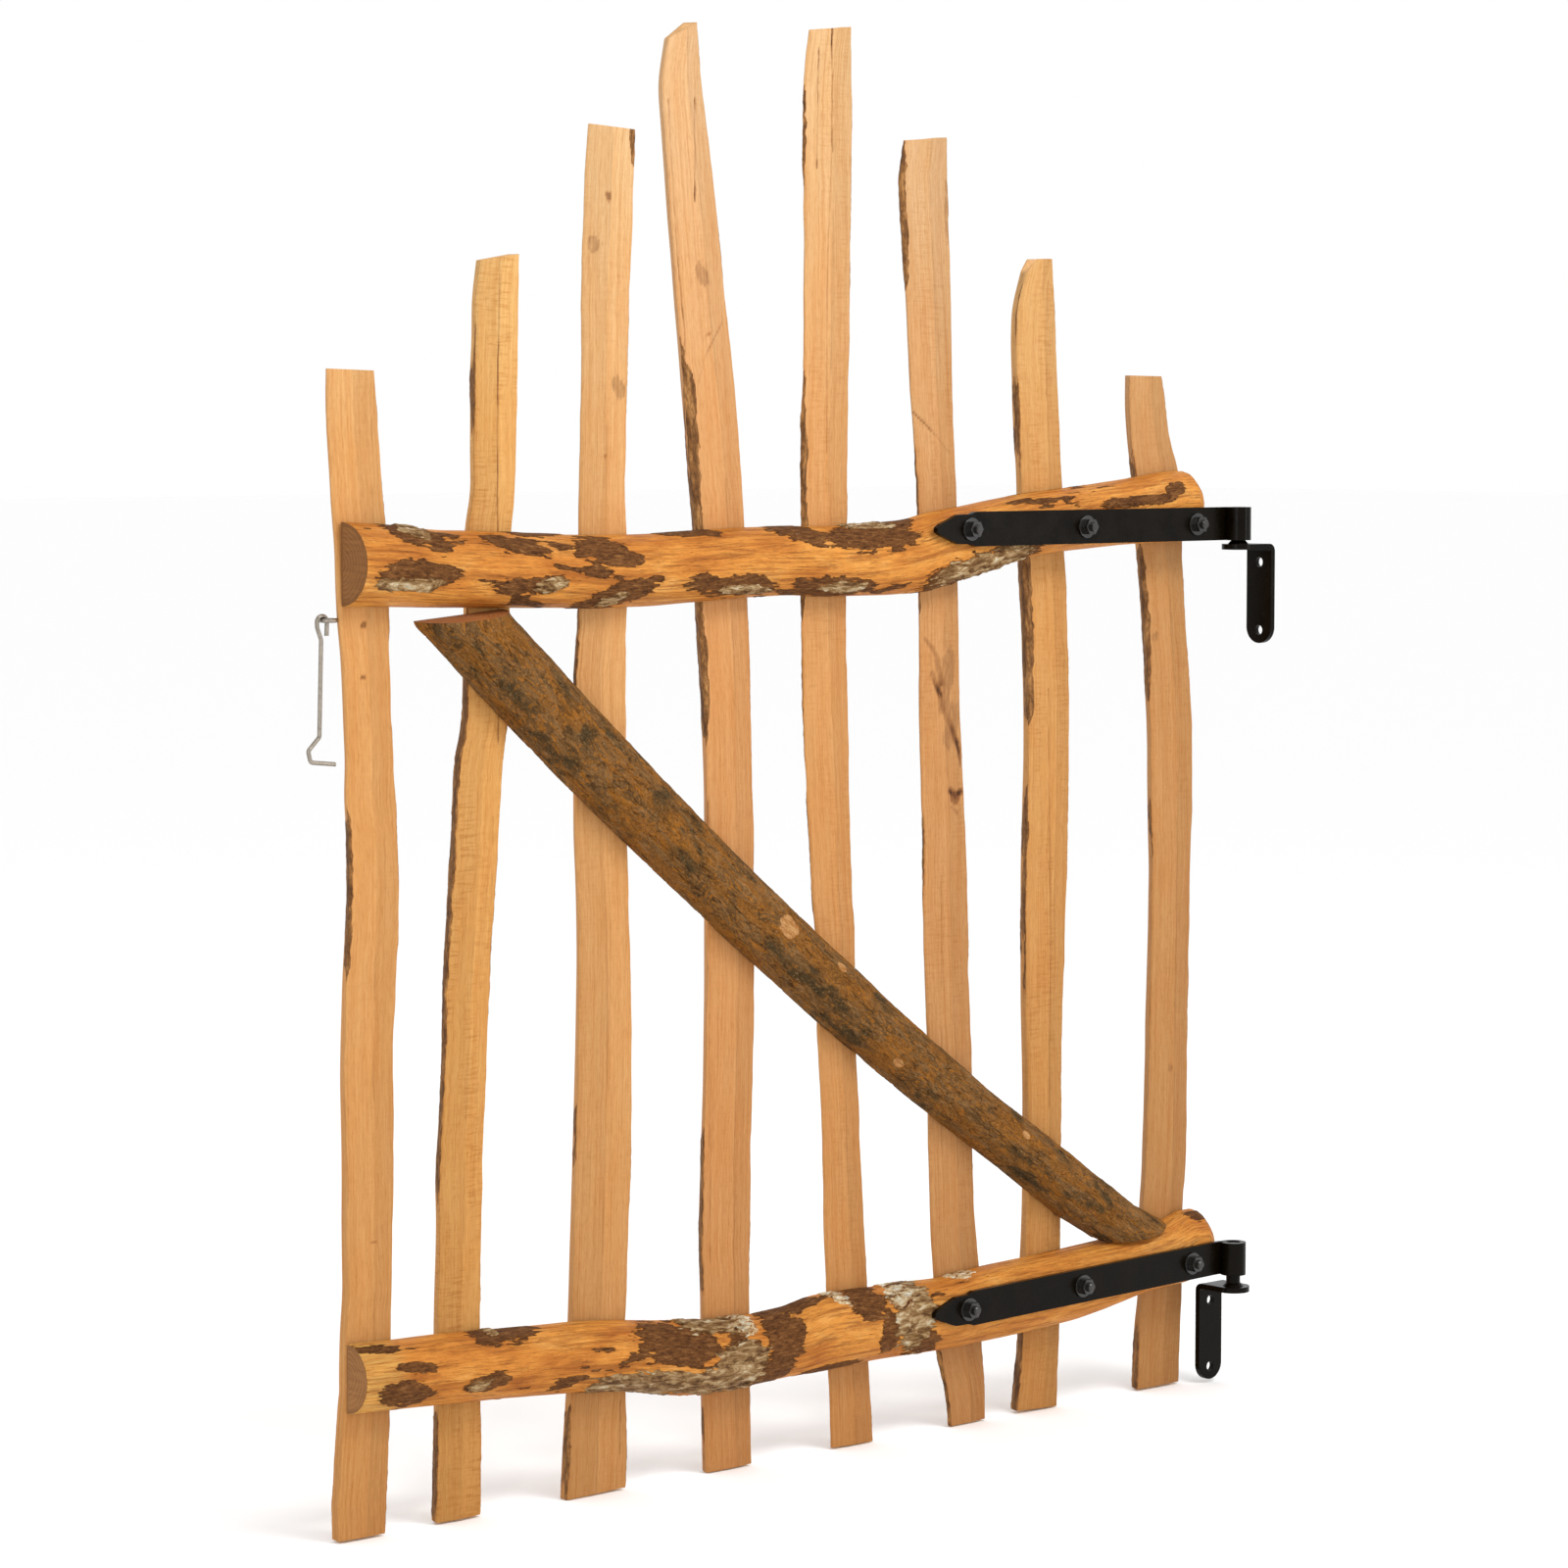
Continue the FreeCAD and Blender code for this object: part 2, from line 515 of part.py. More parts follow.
UP_TAB = Z_UP - 15.0 - 3.5
LO_TAB = 84.0
pin_plate("upper_pin_plate", "X", UP_TAB, "X")
hinge_pin("upper_hinge_pin", UP_TAB, Z_UP + 14.0)
pin_plate("lower_pin_plate", "Y", LO_TAB, "Y")
hinge_pin("lower_hinge_pin", LO_TAB, Z_LO + 14.0)

# --------------------------------------------------------- screw eye and hook
HX, HY, HZ = -26.0, 7.0, 722.0
RING = 6.0
b = new_body("screw_eye")
wr = D["wire_dia"] / 2
sk = sketch(b, "XZ_Plane", "eye_wire_circle", [("C", (HX, HZ), wr), ("L", (HX + RING, HZ - 5), (HX + RING, HZ + 5))], offset=-HY)
sk.toggleConstruction(1)
bind_circle(sk, 0, "wire_dia")
rv = b.newObject("PartDesign::Revolution", "eye_ring")
rv.Profile = sk
rv.ReferenceAxis = (sk, ["N_Axis"])
doc.recompute()
try:
    rv.ReferenceAxis = (sk, ["Axis0"])
    rv.Angle = 360
    doc.recompute()
except Exception as ex:
    print("axis", ex)
sk.Visibility = False
sk = sketch(b, "YZ_Plane", "eye_shank_circle", [("C", (HY, HZ), D["nail_dia"] / 2)], offset=HX + 2 * RING)
pad(b, sk, "eye_shank", 26.0)


def fillet_path(pts, rad):
    segs = []
    prev = V(pts[0][0], pts[0][1], 0)
    for k in range(1, len(pts) - 1):
        p = V(pts[k][0], pts[k][1], 0)
        a = V(pts[k - 1][0], pts[k - 1][1], 0)
        c = V(pts[k + 1][0], pts[k + 1][1], 0)
        u = (a - p).normalize()
        w = (c - p).normalize()
        ang = u.getAngle(w)
        d = rad[k - 1] / math.tan(ang / 2)
        s, e = p + u * d, p + w * d
        bis = (u + w).normalize()
        cen = p + bis * (rad[k - 1] / math.sin(ang / 2))
        m = cen - bis * rad[k - 1]
        segs.append(("L", (prev.x, prev.y), (s.x, s.y)))
        segs.append(("A", (s.x, s.y), (m.x, m.y), (e.x, e.y)))
        prev = e
    segs.append(("L", (prev.x, prev.y), pts[-1]))
    return segs


b = new_body("latch_hook")
HP = [(4.4, -12.0), (5.0, 3.55), (-5.0, 3.55), (-4.6, -5.5), (-0.9, -15.0), (-3.2, -91.0),
      (-14.2, -101.5), (-12.0, -110.5), (11.7, -113.0)]
HR = [4.7, 4.7, 7.0, 5.0, 4.0, 3.2, 3.2]
path = [(HX + x, HZ + z) for x, z in HP]
sp = sketch(b, "XZ_Plane", "hook_path", fillet_path(path, HR), offset=-HY)
p0 = V(path[0][0], HY, path[0][1])
p1 = V(path[1][0], HY, path[1][1])
pr = sketch(b, "XY_Plane", "hook_wire_circle", [("C", (path[0][0], HY), wr)], offset=path[0][1])
doc.recompute()
pipe = b.newObject("PartDesign::AdditivePipe", "hook_wire")
pipe.Profile = pr
pipe.Spine = (sp, [])
sp.Visibility = False
pr.Visibility = False
doc.recompute()

# ------------------------------------------------------------- frame and export
box = FreeCAD.BoundBox()
for n in NODES:
    box.add(n.Shape.BoundBox)
print("design box", box)
SHIFT = V(-round((box.XMin + box.XMax) / 2, 3), -round((box.YMin + box.YMax) / 2, 3), -round(box.ZMin, 3))
print("SHIFT", SHIFT)
for n in NODES:
    n.Placement = Placement(SHIFT, Rotation())
doc.recompute()
bad = []
for o in doc.Objects:
    if "Invalid" in o.State or "Error" in o.State:
        bad.append((o.Name, o.State))
for n in NODES:
    s = n.Shape
    if s.isNull() or not s.isValid():
        bad.append((n.Label, "invalid shape"))
        continue
    print("%-22s solids %d vol %.0f box %.1f..%.1f %.1f..%.1f %.1f..%.1f" % (
        n.Label, len(s.Solids), s.Volume, s.BoundBox.XMin, s.BoundBox.XMax, s.BoundBox.YMin, s.BoundBox.YMax, s.BoundBox.ZMin, s.BoundBox.ZMax))
    s.exportStep("parts/%s.step" % n.Label)
if bad:
    print("BAD", bad)
    raise RuntimeError("invalid features: %s" % bad)
print("exported", len(NODES))
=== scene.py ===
import bpy
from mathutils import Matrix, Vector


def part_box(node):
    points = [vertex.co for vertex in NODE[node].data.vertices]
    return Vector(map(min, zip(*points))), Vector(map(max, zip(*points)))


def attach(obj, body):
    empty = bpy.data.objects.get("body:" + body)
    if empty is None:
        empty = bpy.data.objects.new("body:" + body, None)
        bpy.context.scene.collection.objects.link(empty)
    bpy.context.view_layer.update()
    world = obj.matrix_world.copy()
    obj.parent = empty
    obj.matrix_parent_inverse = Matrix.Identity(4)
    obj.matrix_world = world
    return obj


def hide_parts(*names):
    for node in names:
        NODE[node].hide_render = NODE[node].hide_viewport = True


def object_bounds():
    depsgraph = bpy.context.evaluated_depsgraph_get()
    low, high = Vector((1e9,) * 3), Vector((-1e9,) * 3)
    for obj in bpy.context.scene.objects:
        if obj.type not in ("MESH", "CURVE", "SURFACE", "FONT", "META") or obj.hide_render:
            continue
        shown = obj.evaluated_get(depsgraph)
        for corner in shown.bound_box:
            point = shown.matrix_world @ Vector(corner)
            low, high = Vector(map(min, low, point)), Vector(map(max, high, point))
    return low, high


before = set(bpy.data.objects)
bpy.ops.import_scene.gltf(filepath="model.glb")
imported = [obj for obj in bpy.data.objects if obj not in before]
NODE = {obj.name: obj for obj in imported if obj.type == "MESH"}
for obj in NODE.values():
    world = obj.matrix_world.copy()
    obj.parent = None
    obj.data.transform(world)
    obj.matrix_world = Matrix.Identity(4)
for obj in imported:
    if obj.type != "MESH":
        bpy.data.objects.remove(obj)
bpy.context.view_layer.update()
import bpy
import math
import numpy as np
from mathutils import Vector

# offset from the drawing numbers below (mm) to the row frame
_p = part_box("upper_hinge_pin")
OFF = np.array([(_p[0].x + _p[1].x) * 500 - 972.0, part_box("picket_1")[0].y * 1000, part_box("upper_strap")[0].z * 1000 - 768.5])
TOP_PATCH = [(48.5, 786.6, 34.2, 7.7, 16.0, 'D'), (46.6, 789.7, 14.6, 5.4, 11.0, 'L'), (40.5, 757.5, 42.0, 11.5, 2.0, 'D'), (30.8, 750.1, 35.0, 5.4, 2.0, 'L'), (145.2, 777.9, 33.3, 7.0, 9.0, 'D'), (177.5, 787.5, 32.6, 3.1, 1.0, 'D'), (160.1, 746.3, 38.6, 7.1, -2.0, 'D'), (179.3, 746.6, 17.3, 5.5, -4.0, 'L'), (233.8, 773.1, 28.1, 11.1, 5.0, 'D'), (259.7, 765.5, 14.6, 6.4, 1.0, 'D'), (249.2, 735.4, 41.9, 9.6, -14.0, 'D'), (246.1, 733.1, 14.6, 4.8, -13.0, 'L'), (376.8, 740.4, 52.6, 9.0, 4.0, 'D'), (393.1, 737.5, 30.7, 4.1, 2.0, 'L'), (492.9, 737.6, 47.7, 9.1, 2.0, 'D'), (502.0, 737.4, 25.0, 5.0, 2.0, 'L'), (455.9, 782.1, 31.3, 7.4, 11.0, 'D'), (534.8, 777.5, 50.6, 10.8, -1.0, 'D'), (572.7, 788.6, 25.5, 7.5, -24.0, 'D'), (536.0, 787.5, 28.7, 3.3, 1.0, 'L'), (352.0, 785.5, 18.3, 4.0, 6.0, 'D'), (664.3, 753.2, 62.5, 9.4, -12.0, 'L'), (664.3, 751.5, 72.2, 11.9, -12.0, 'D'), (856.3, 805.3, 53.4, 4.4, -4.0, 'D'), (904.5, 814.4, 14.1, 6.2, -14.0, 'D'), (323.1, 784.3, 21.4, 2.4, 1.0, 'D'), (289.1, 748.8, 8.4, 3.2, 2.0, 'D')]
LOW_PATCH = [(136.7, 141.9, 37.7, 8.0, 1.0, 'D'), (125.6, 142.5, 6.1, 3.2, 9.0, 'L'), (38.9, 128.3, 19.7, 4.7, 9.0, 'D'), (28.0, 108.5, 29.5, 11.0, 5.0, 'D'), (108.3, 107.3, 25.2, 7.2, -6.0, 'D'), (101.2, 105.8, 15.1, 4.0, -6.0, 'L'), (311.0, 111.5, 45.5, 16.5, 10.0, 'D'), (359.7, 121.9, 37.3, 7.5, 5.0, 'L'), (310.9, 78.5, 92.8, 10.7, 6.0, 'L'), (378.3, 85.4, 29.8, 20.0, -0.0, 'L'), (392.7, 117.7, 11.1, 11.7, 19.0, 'W'), (431.5, 104.4, 22.4, 21.9, 10.0, 'D'), (454.0, 125.2, 29.4, 4.2, -3.0, 'D'), (414.8, 74.7, 26.8, 15.1, -11.0, 'D'), (502.7, 126.8, 16.0, 5.1, 28.0, 'W'), (531.5, 120.8, 20.8, 11.1, 9.0, 'D'), (580.3, 102.8, 22.4, 31.0, 10.0, 'L'), (570.9, 121.1, 15.2, 11.2, 9.0, 'W'), (589.8, 79.2, 26.0, 12.1, 10.0, 'D'), (544.2, 132.9, 18.6, 3.4, -1.0, 'D'), (657.3, 130.6, 16.9, 5.2, -9.0, 'W'), (493.7, 67.7, 36.7, 4.2, -2.0, 'D'), (257.8, 140.4, 16.9, 3.3, 9.0, 'D'), (551.2, 91.0, 10.5, 18.9, 10.0, 'D')]
BRACE_PATCH = [(434.9, 452.4, 13.4, 10.8, 43.0, 'W'), (99.7, 673.0, 5.9, 3.1, 42.0, 'W'), (496.7, 412.8, 6.8, 3.4, 43.0, 'W'), (565.8, 325.1, 7.0, 3.4, 44.0, 'W'), (717.3, 247.0, 6.1, 3.5, 44.0, 'W')]
PK1 = [(10.3, 717.6, 2.9, 3.1, 2.0, 'K'), (10.0, 676.1, 2.9, 2.3, 3.0, 'K'), (16.1, 227.7, 2.9, 1.6, 8.0, 'K')]
PK2 = []
PK3 = [(262.2, 1060.5, 4.2, 4.8, -2.0, 'K'), (246.5, 1019.7, 7.3, 7.1, 29.0, 'S'), (272.1, 904.8, 7.3, 9.6, -20.0, 'S'), (257.3, 848.9, 2.1, 2.4, 0.0, 'K'), (289.4, 1101.9, 4.2, 17.5, -3.0, 'B')]
PK4 = [(362.5, 998.1, 6.5, 9.7, -31.0, 'S'), (371.0, 948.1, 3.2, 1.6, -1.0, 'K')]
PK5 = []
PK6 = [(644.0, 650.0, 9.0, 30.0, 11, 'S'), (651.0, 612.0, 8.0, 22.0, 16, 'S'), (656.0, 547.7, 6.0, 6.0, 4, 'K'), (647.0, 1060.0, 5.0, 30.0, 0, 'S')]
PK7 = []
PK8 = [(907.8, 681.0, 3.9, 4.5, 3.0, 'S'), (930.6, 284.8, 3.9, 3.6, 7.0, 'S')]
DENSE = {
 1: ([-18.8, -18.5, -16.3, -14.5, -11.2, -10.6, -9.4, -7.2, -7.7, -8.1, -7.7, -7.8, -8.5, -9.3, -8.7, -7.8, -6.8, -4.6, -2.8, -2.6, -2.8, -5.2, -4.1, -5.8, -6.9, -8.6, -12.2, -13.7, -14.2, -17.0, -18.7, -20.9, -22.4, -21.8],
     [-19.1, -18.7, -16.3, -14.3, -10.6, -10.0, -8.7, -6.1, -6.5, -6.6, -6.0, -5.9, -6.4, -6.9, -6.2, -5.0, -3.8, -1.5, 0.6, 1.0, 1.0, -1.2, 0.1, -1.4, -2.3, -3.8, -7.0, -8.4, -8.8, -11.4, -12.8, -14.9, -16.1, -15.4],
     [26.2, 28.1, 30.0, 31.2, 32.6, 32.8, 33.3, 34.7, 35.5, 35.7, 36.9, 37.1, 37.7, 37.0, 37.3, 39.2, 40.9, 42.6, 44.2, 43.7, 42.8, 41.5, 39.8, 37.8, 37.0, 35.7, 35.5, 34.5, 34.0, 31.8, 29.2, 27.2, 25.1, 22.8]),
 2: ([80.0, 80.7, 81.8, 82.4, 82.4, 82.5, 83.3, 84.8, 85.6, 84.6, 87.0, 89.8, 91.3, 92.6, 93.1, 95.4, 98.1, 100.4, 103.4, 104.6, 106.9, 114.8, 115.4, 115.9, 116.5, 117.1, 117.6, 124.5, 123.8, 124.4, 124.2, 126.3, 126.5, 131.4],
     [82.7, 83.4, 84.5, 85.1, 85.1, 85.2, 86.1, 87.6, 88.4, 87.4, 89.8, 92.6, 94.1, 95.4, 95.9, 98.2, 100.9, 103.2, 106.2, 107.4, 109.7, 117.7, 118.2, 118.8, 119.4, 119.9, 120.5, 127.4, 126.7, 127.3, 127.1, 129.2, 129.4, 134.3],
     [125.1, 125.8, 125.8, 125.7, 125.7, 125.7, 125.8, 126.5, 127.5, 128.5, 130.2, 132.1, 133.9, 135.5, 137.2, 138.3, 141.5, 144.1, 146.5, 148.9, 152.0, 158.0, 158.4, 158.9, 159.4, 159.8, 162.1, 165.5, 166.9, 167.5, 168.3, 168.6, 169.2, 169.7]),
 3: ([214.4, 216.5, 218.9, 221.2, 221.4, 222.9, 223.9, 225.2, 226.4, 227.5, 228.6, 229.7, 230.2, 231.0, 230.5, 229.6, 227.3, 227.2, 227.1, 227.0, 227.4, 231.3, 231.7, 231.8, 232.1, 233.3, 234.1, 235.0, 235.7, 235.0, 236.4, 238.2, 239.5, 243.3],
     [215.5, 217.7, 220.4, 223.0, 223.2, 225.0, 226.3, 227.9, 229.3, 230.6, 231.9, 233.2, 234.0, 234.9, 234.7, 234.0, 232.2, 232.2, 232.2, 232.2, 233.0, 237.1, 237.8, 237.9, 238.6, 240.0, 241.0, 242.1, 243.1, 242.6, 244.2, 246.3, 247.8, 251.8],
     [277.6, 278.7, 278.1, 277.9, 277.9, 279.6, 281.0, 282.1, 284.2, 284.9, 285.0, 285.1, 284.7, 284.3, 282.9, 282.2, 280.6, 280.6, 280.5, 280.4, 279.7, 280.1, 282.7, 282.7, 279.1, 280.0, 280.4, 281.5, 282.5, 284.5, 287.4, 288.7, 290.2, 291.8]),
 4: ([368.1, 367.1, 365.8, 365.7, 365.6, 364.4, 364.0, 365.6, 367.1, 368.5, 369.3, 370.2, 370.3, 370.3, 370.3, 370.4, 370.0, 368.7, 366.9, 364.2, 361.0, 359.1, 358.5, 353.8, 350.4, 345.9, 342.4, 338.1, 334.8, 330.6, 327.7, 324.3, 320.5, 328.0],
     [372.4, 371.4, 370.1, 370.0, 369.9, 368.7, 368.3, 370.0, 371.4, 372.9, 373.6, 374.5, 374.7, 374.7, 374.7, 374.7, 374.4, 373.0, 371.3, 368.6, 365.4, 363.5, 362.8, 358.1, 354.8, 350.3, 346.8, 342.5, 339.2, 335.0, 332.0, 328.7, 324.9, 332.4],
     [417.2, 416.4, 415.7, 415.6, 415.1, 415.1, 416.2, 416.7, 417.4, 419.2, 420.6, 421.1, 420.6, 420.4, 420.3, 420.2, 417.5, 417.6, 416.5, 415.8, 412.6, 412.0, 409.3, 406.2, 402.5, 398.5, 393.5, 387.9, 383.5, 378.4, 372.8, 367.3, 361.2, 357.7]),
 5: ([511.2, 510.8, 507.6, 507.0, 505.5, 503.0, 502.5, 501.7, 500.1, 497.0, 494.7, 494.2, 493.7, 489.5, 487.1, 484.3, 481.8, 479.4, 477.8, 477.4, 476.4, 476.4, 476.4, 476.1, 476.5, 478.7, 479.6, 479.2, 479.8, 479.8, 478.7, 478.0, 479.5, 485.8],
     [520.4, 520.0, 516.7, 516.2, 514.7, 512.2, 511.7, 510.9, 509.2, 506.2, 503.9, 503.4, 502.8, 498.6, 496.3, 493.4, 490.9, 488.5, 486.9, 486.5, 485.5, 485.5, 485.5, 485.3, 485.6, 487.9, 488.8, 488.3, 489.0, 489.0, 487.8, 487.2, 488.7, 495.0],
     [560.1, 557.5, 554.5, 554.0, 552.0, 549.3, 546.8, 544.4, 542.4, 539.2, 538.0, 537.7, 537.3, 534.3, 533.0, 531.7, 530.9, 529.4, 528.6, 528.0, 528.0, 528.1, 528.4, 528.5, 528.7, 529.9, 531.1, 530.9, 530.9, 532.3, 532.8, 533.5, 533.1, 533.0]),
 6: ([652.7, 648.7, 636.4, 635.3, 634.3, 630.7, 629.4, 628.1, 626.8, 626.7, 626.5, 624.4, 622.3, 621.3, 619.8, 620.3, 618.6, 617.0, 615.8, 614.6, 615.3, 614.6, 612.9, 612.7, 612.2, 609.5, 606.4, 602.6, 600.7, 598.6, 594.9, 592.0, 589.3, 595.5],
     [660.2, 656.2, 643.8, 642.8, 641.7, 638.1, 636.8, 635.5, 634.3, 634.1, 633.9, 631.8, 629.8, 628.7, 627.3, 627.7, 626.1, 624.4, 623.3, 622.0, 622.7, 622.0, 620.4, 620.2, 619.7, 616.9, 613.9, 610.0, 608.2, 606.0, 602.3, 599.4, 596.8, 603.0],
     [695.8, 695.9, 690.6, 689.6, 688.6, 683.5, 681.5, 678.7, 678.4, 678.2, 677.9, 675.3, 673.4, 673.3, 671.7, 670.2, 667.8, 665.6, 663.1, 661.9, 661.4, 660.4, 658.6, 658.3, 657.1, 654.7, 652.4, 651.4, 650.3, 649.7, 648.0, 646.5, 644.6, 644.5]),
 7: ([736.3, 740.2, 744.8, 745.3, 745.8, 748.2, 749.5, 749.6, 749.6, 749.9, 749.3, 748.2, 747.1, 747.0, 746.8, 746.7, 746.6, 747.7, 748.8, 749.9, 749.8, 749.1, 747.3, 746.3, 743.7, 740.9, 740.5, 740.0, 737.8, 734.5, 733.8, 732.4, 733.7, 744.2],
     [739.8, 743.7, 748.2, 748.7, 749.2, 751.5, 752.8, 752.9, 752.9, 753.2, 752.5, 751.4, 750.2, 750.1, 749.9, 749.8, 749.6, 750.7, 751.8, 752.8, 752.7, 752.0, 750.2, 749.1, 746.5, 743.6, 743.3, 742.7, 740.4, 737.1, 736.4, 734.9, 736.2, 746.7],
     [786.0, 787.4, 788.7, 789.0, 789.2, 789.7, 790.3, 790.3, 790.3, 790.2, 790.3, 790.9, 792.0, 793.5, 794.0, 795.8, 796.7, 797.6, 798.1, 798.4, 798.4, 798.2, 796.7, 795.8, 793.5, 790.8, 790.2, 787.4, 785.2, 783.5, 781.1, 779.5, 776.8, 774.0]),
 8: ([890.7, 891.6, 893.1, 897.9, 898.3, 898.7, 899.1, 901.9, 902.8, 904.2, 904.7, 905.6, 905.3, 906.5, 907.4, 908.5, 908.8, 909.5, 908.1, 907.1, 906.1, 906.1, 904.9, 902.4, 901.1, 898.2, 895.4, 891.8, 887.0, 886.1, 882.2, 877.4, 874.5, 874.9],
     [894.6, 895.6, 897.1, 901.9, 902.3, 902.7, 903.1, 906.0, 906.8, 908.2, 908.8, 909.7, 909.4, 910.6, 911.5, 912.6, 912.9, 913.6, 912.2, 911.2, 910.2, 910.2, 909.0, 906.5, 905.2, 902.3, 899.5, 896.0, 891.1, 890.2, 886.3, 881.5, 878.6, 879.0],
     [945.2, 946.3, 947.4, 949.5, 949.8, 950.0, 950.3, 953.2, 954.3, 954.4, 954.9, 954.7, 955.0, 955.5, 956.1, 956.8, 956.6, 956.5, 958.1, 959.2, 959.5, 959.0, 958.0, 955.4, 951.9, 948.7, 946.4, 943.8, 943.9, 942.6, 937.8, 925.5, 920.3, 914.4]),
}

PKM = {1: PK1, 2: PK2, 3: PK3, 4: PK4, 5: PK5, 6: PK6, 7: PK7, 8: PK8}

# thickness, bottom z (left, right), top z (left, right), colour, ridge (place, left drop, right drop)
PICK = {
    1: (15, (-8.0, -8.0), (918.2, 916.9), (0.577, 0.286, 0.100), (0.55, 0.8, 0.8)),
    2: (15, (-8.0, -8.0), (1005.3, 1010.9), (0.592, 0.300, 0.092), (0.52, 1.6, 2.6)),
    3: (14, (-9.6, -7.9), (1117.6, 1114.6), (0.572, 0.292, 0.110), (0.50, 1.0, 1.0)),
    4: (15, (-9.2, -8.2), (1190.5, 1205.2), (0.546, 0.262, 0.098), (0.62, 1.0, 0.8)),
    5: (15, (-8.2, -9.3), (1205.6, 1210.5), (0.541, 0.262, 0.094), (0.58, 1.2, 1.8)),
    6: (14, (-9.3, -8.1), (1117.1, 1121.4), (0.494, 0.244, 0.094), (0.60, 1.0, 1.0)),
    7: (16, (-7.0, -9.0), (1006.8, 1019.6), (0.520, 0.256, 0.082), (0.64, 1.6, 1.2)),
    8: (15, (-8.1, -7.9), (917.3, 916.7), (0.458, 0.225, 0.082), (0.60, 1.0, 1.4)),
}
# bark beside the left edge: (z, width on the face in mm, how dark the side face is painted: partly bark, partly painted
# shade of the side turned from the light, in places the brace's painted shadow)
STRIP = {
    1: [(-20, -1, 0.1), (430, -1, 0.1), (450, 1.6, 0.8), (500, 2.0, 1.0), (560, 1.6, 0.9), (585, -1, 0.1), (930, -1, 0.1)],
    2: [(-20, -1, 0.6), (20, 0.4, 1.0), (75, 0.4, 1.0), (90, -1, 0.3), (240, -1, 0.4), (270, 0.3, 0.9), (430, 0.9, 1.0),
        (560, 0.6, 1.0), (640, 0.8, 0.9), (700, 1.4, 0.8), (800, -1, 0.1), (860, -1, 0.4), (880, 0.3, 0.9), (915, 0.3, 0.9), (940, -0.5, 0.6), (1010, -0.5, 0.6)],
    3: [(-20, 0.5, 0.3), (10, 1.0, 0.8), (30, 2.6, 1.0), (60, 0.8, 0.9), (80, -1, 0.1), (250, -1, 0.2), (275, -0.2, 0.8), (310, -0.2, 0.7),
        (330, -1, 0.1), (600, -1, 0.1), (632, 0.8, 0.9), (690, 0.9, 1.0), (725, 0.0, 1.0), (750, -1, 0.2), (1130, -1, 0.1)],
    4: [(-20, -1, 0.5), (30, -0.2, 0.9), (55, -1, 0.2), (135, -1, 0.2), (150, 0.2, 0.9), (275, 0.2, 1.0), (290, -1, 0.1), (600, -1, 0.1),
        (625, 3.6, 1.0), (660, 5.0, 1.0), (720, 4.4, 1.0), (800, 6.6, 1.0), (850, 9.2, 0.9), (905, 9.8, 0.7), (940, 0.4, 0.4), (960, -1, 0.3), (1000, -1, 0.4), (1020, -1, 0.1), (1210, -1, 0.0)],
    5: [(-20, -1, 0.0), (400, -1, 0.1), (430, -1, 0.6), (600, -0.6, 0.7), (640, 0.4, 0.6), (700, -1, 0.5), (730, 3.0, 0.9), (780, 5.8, 0.5),
        (870, 5.0, 0.8), (905, 1.8, 0.3), (930, -1, 0.1), (1060, -1, 0.2), (1080, 0.6, 0.6), (1115, 2.4, 0.6), (1150, 2.0, 0.3), (1165, -1, 0.1), (1215, -1, 0.0)],
    6: [(-20, 2.4, 0.2), (30, 1.4, 1.0), (60, 3.6, 0.9), (80, -1, 0.1), (440, -1, 0.3), (480, 0.8, 0.7), (530, 0.8, 0.9), (545, -1, 0.1),
        (700, -1, 0.2), (715, 0.4, 0.7), (800, 0.2, 0.9), (850, 0.4, 0.7), (880, -1, 0.2), (985, -1, 0.2), (1000, 3.0, 1.0), (1050, 6.2, 1.0), (1095, 5.0, 1.0), (1110, 1.0, 0.7), (1125, -1, 0.3)],
    7: [(-20, 0.4, 1.0), (20, 1.2, 1.0), (65, 0.2, 1.0), (80, -1, 0.2), (340, -1, 0.2), (390, -0.3, 0.8), (490, 0.4, 0.8), (515, 1.2, 1.0), (550, -0.5, 0.7), (580, -1, 0.2),
        (605, -0.8, 0.3), (620, 4.6, 0.9), (690, 7.0, 1.0), (740, 7.8, 1.0), (790, 1.5, 0.3), (820, -1, 0.2), (860, 0.8, 0.9), (905, 0.6, 0.8), (930, -0.8, 0.3), (965, -0.4, 0.7), (1020, -1, 0.5)],
    8: [(-20, 0.6, 0.9), (40, 0.6, 0.9), (60, -1, 0.4), (80, -1, 0.1), (455, -1, 0.1), (480, 0.2, 0.8), (520, 0.3, 0.8), (545, -1, 0.2), (610, -1, 0.1),
        (630, 0.8, 0.8), (665, 2.4, 1.0), (695, 4.2, 1.0), (750, 2.2, 1.0), (765, 0.5, 0.6), (830, 0.8, 0.9), (860, -0.3, 0.4), (920, -1, 0.2)],
}
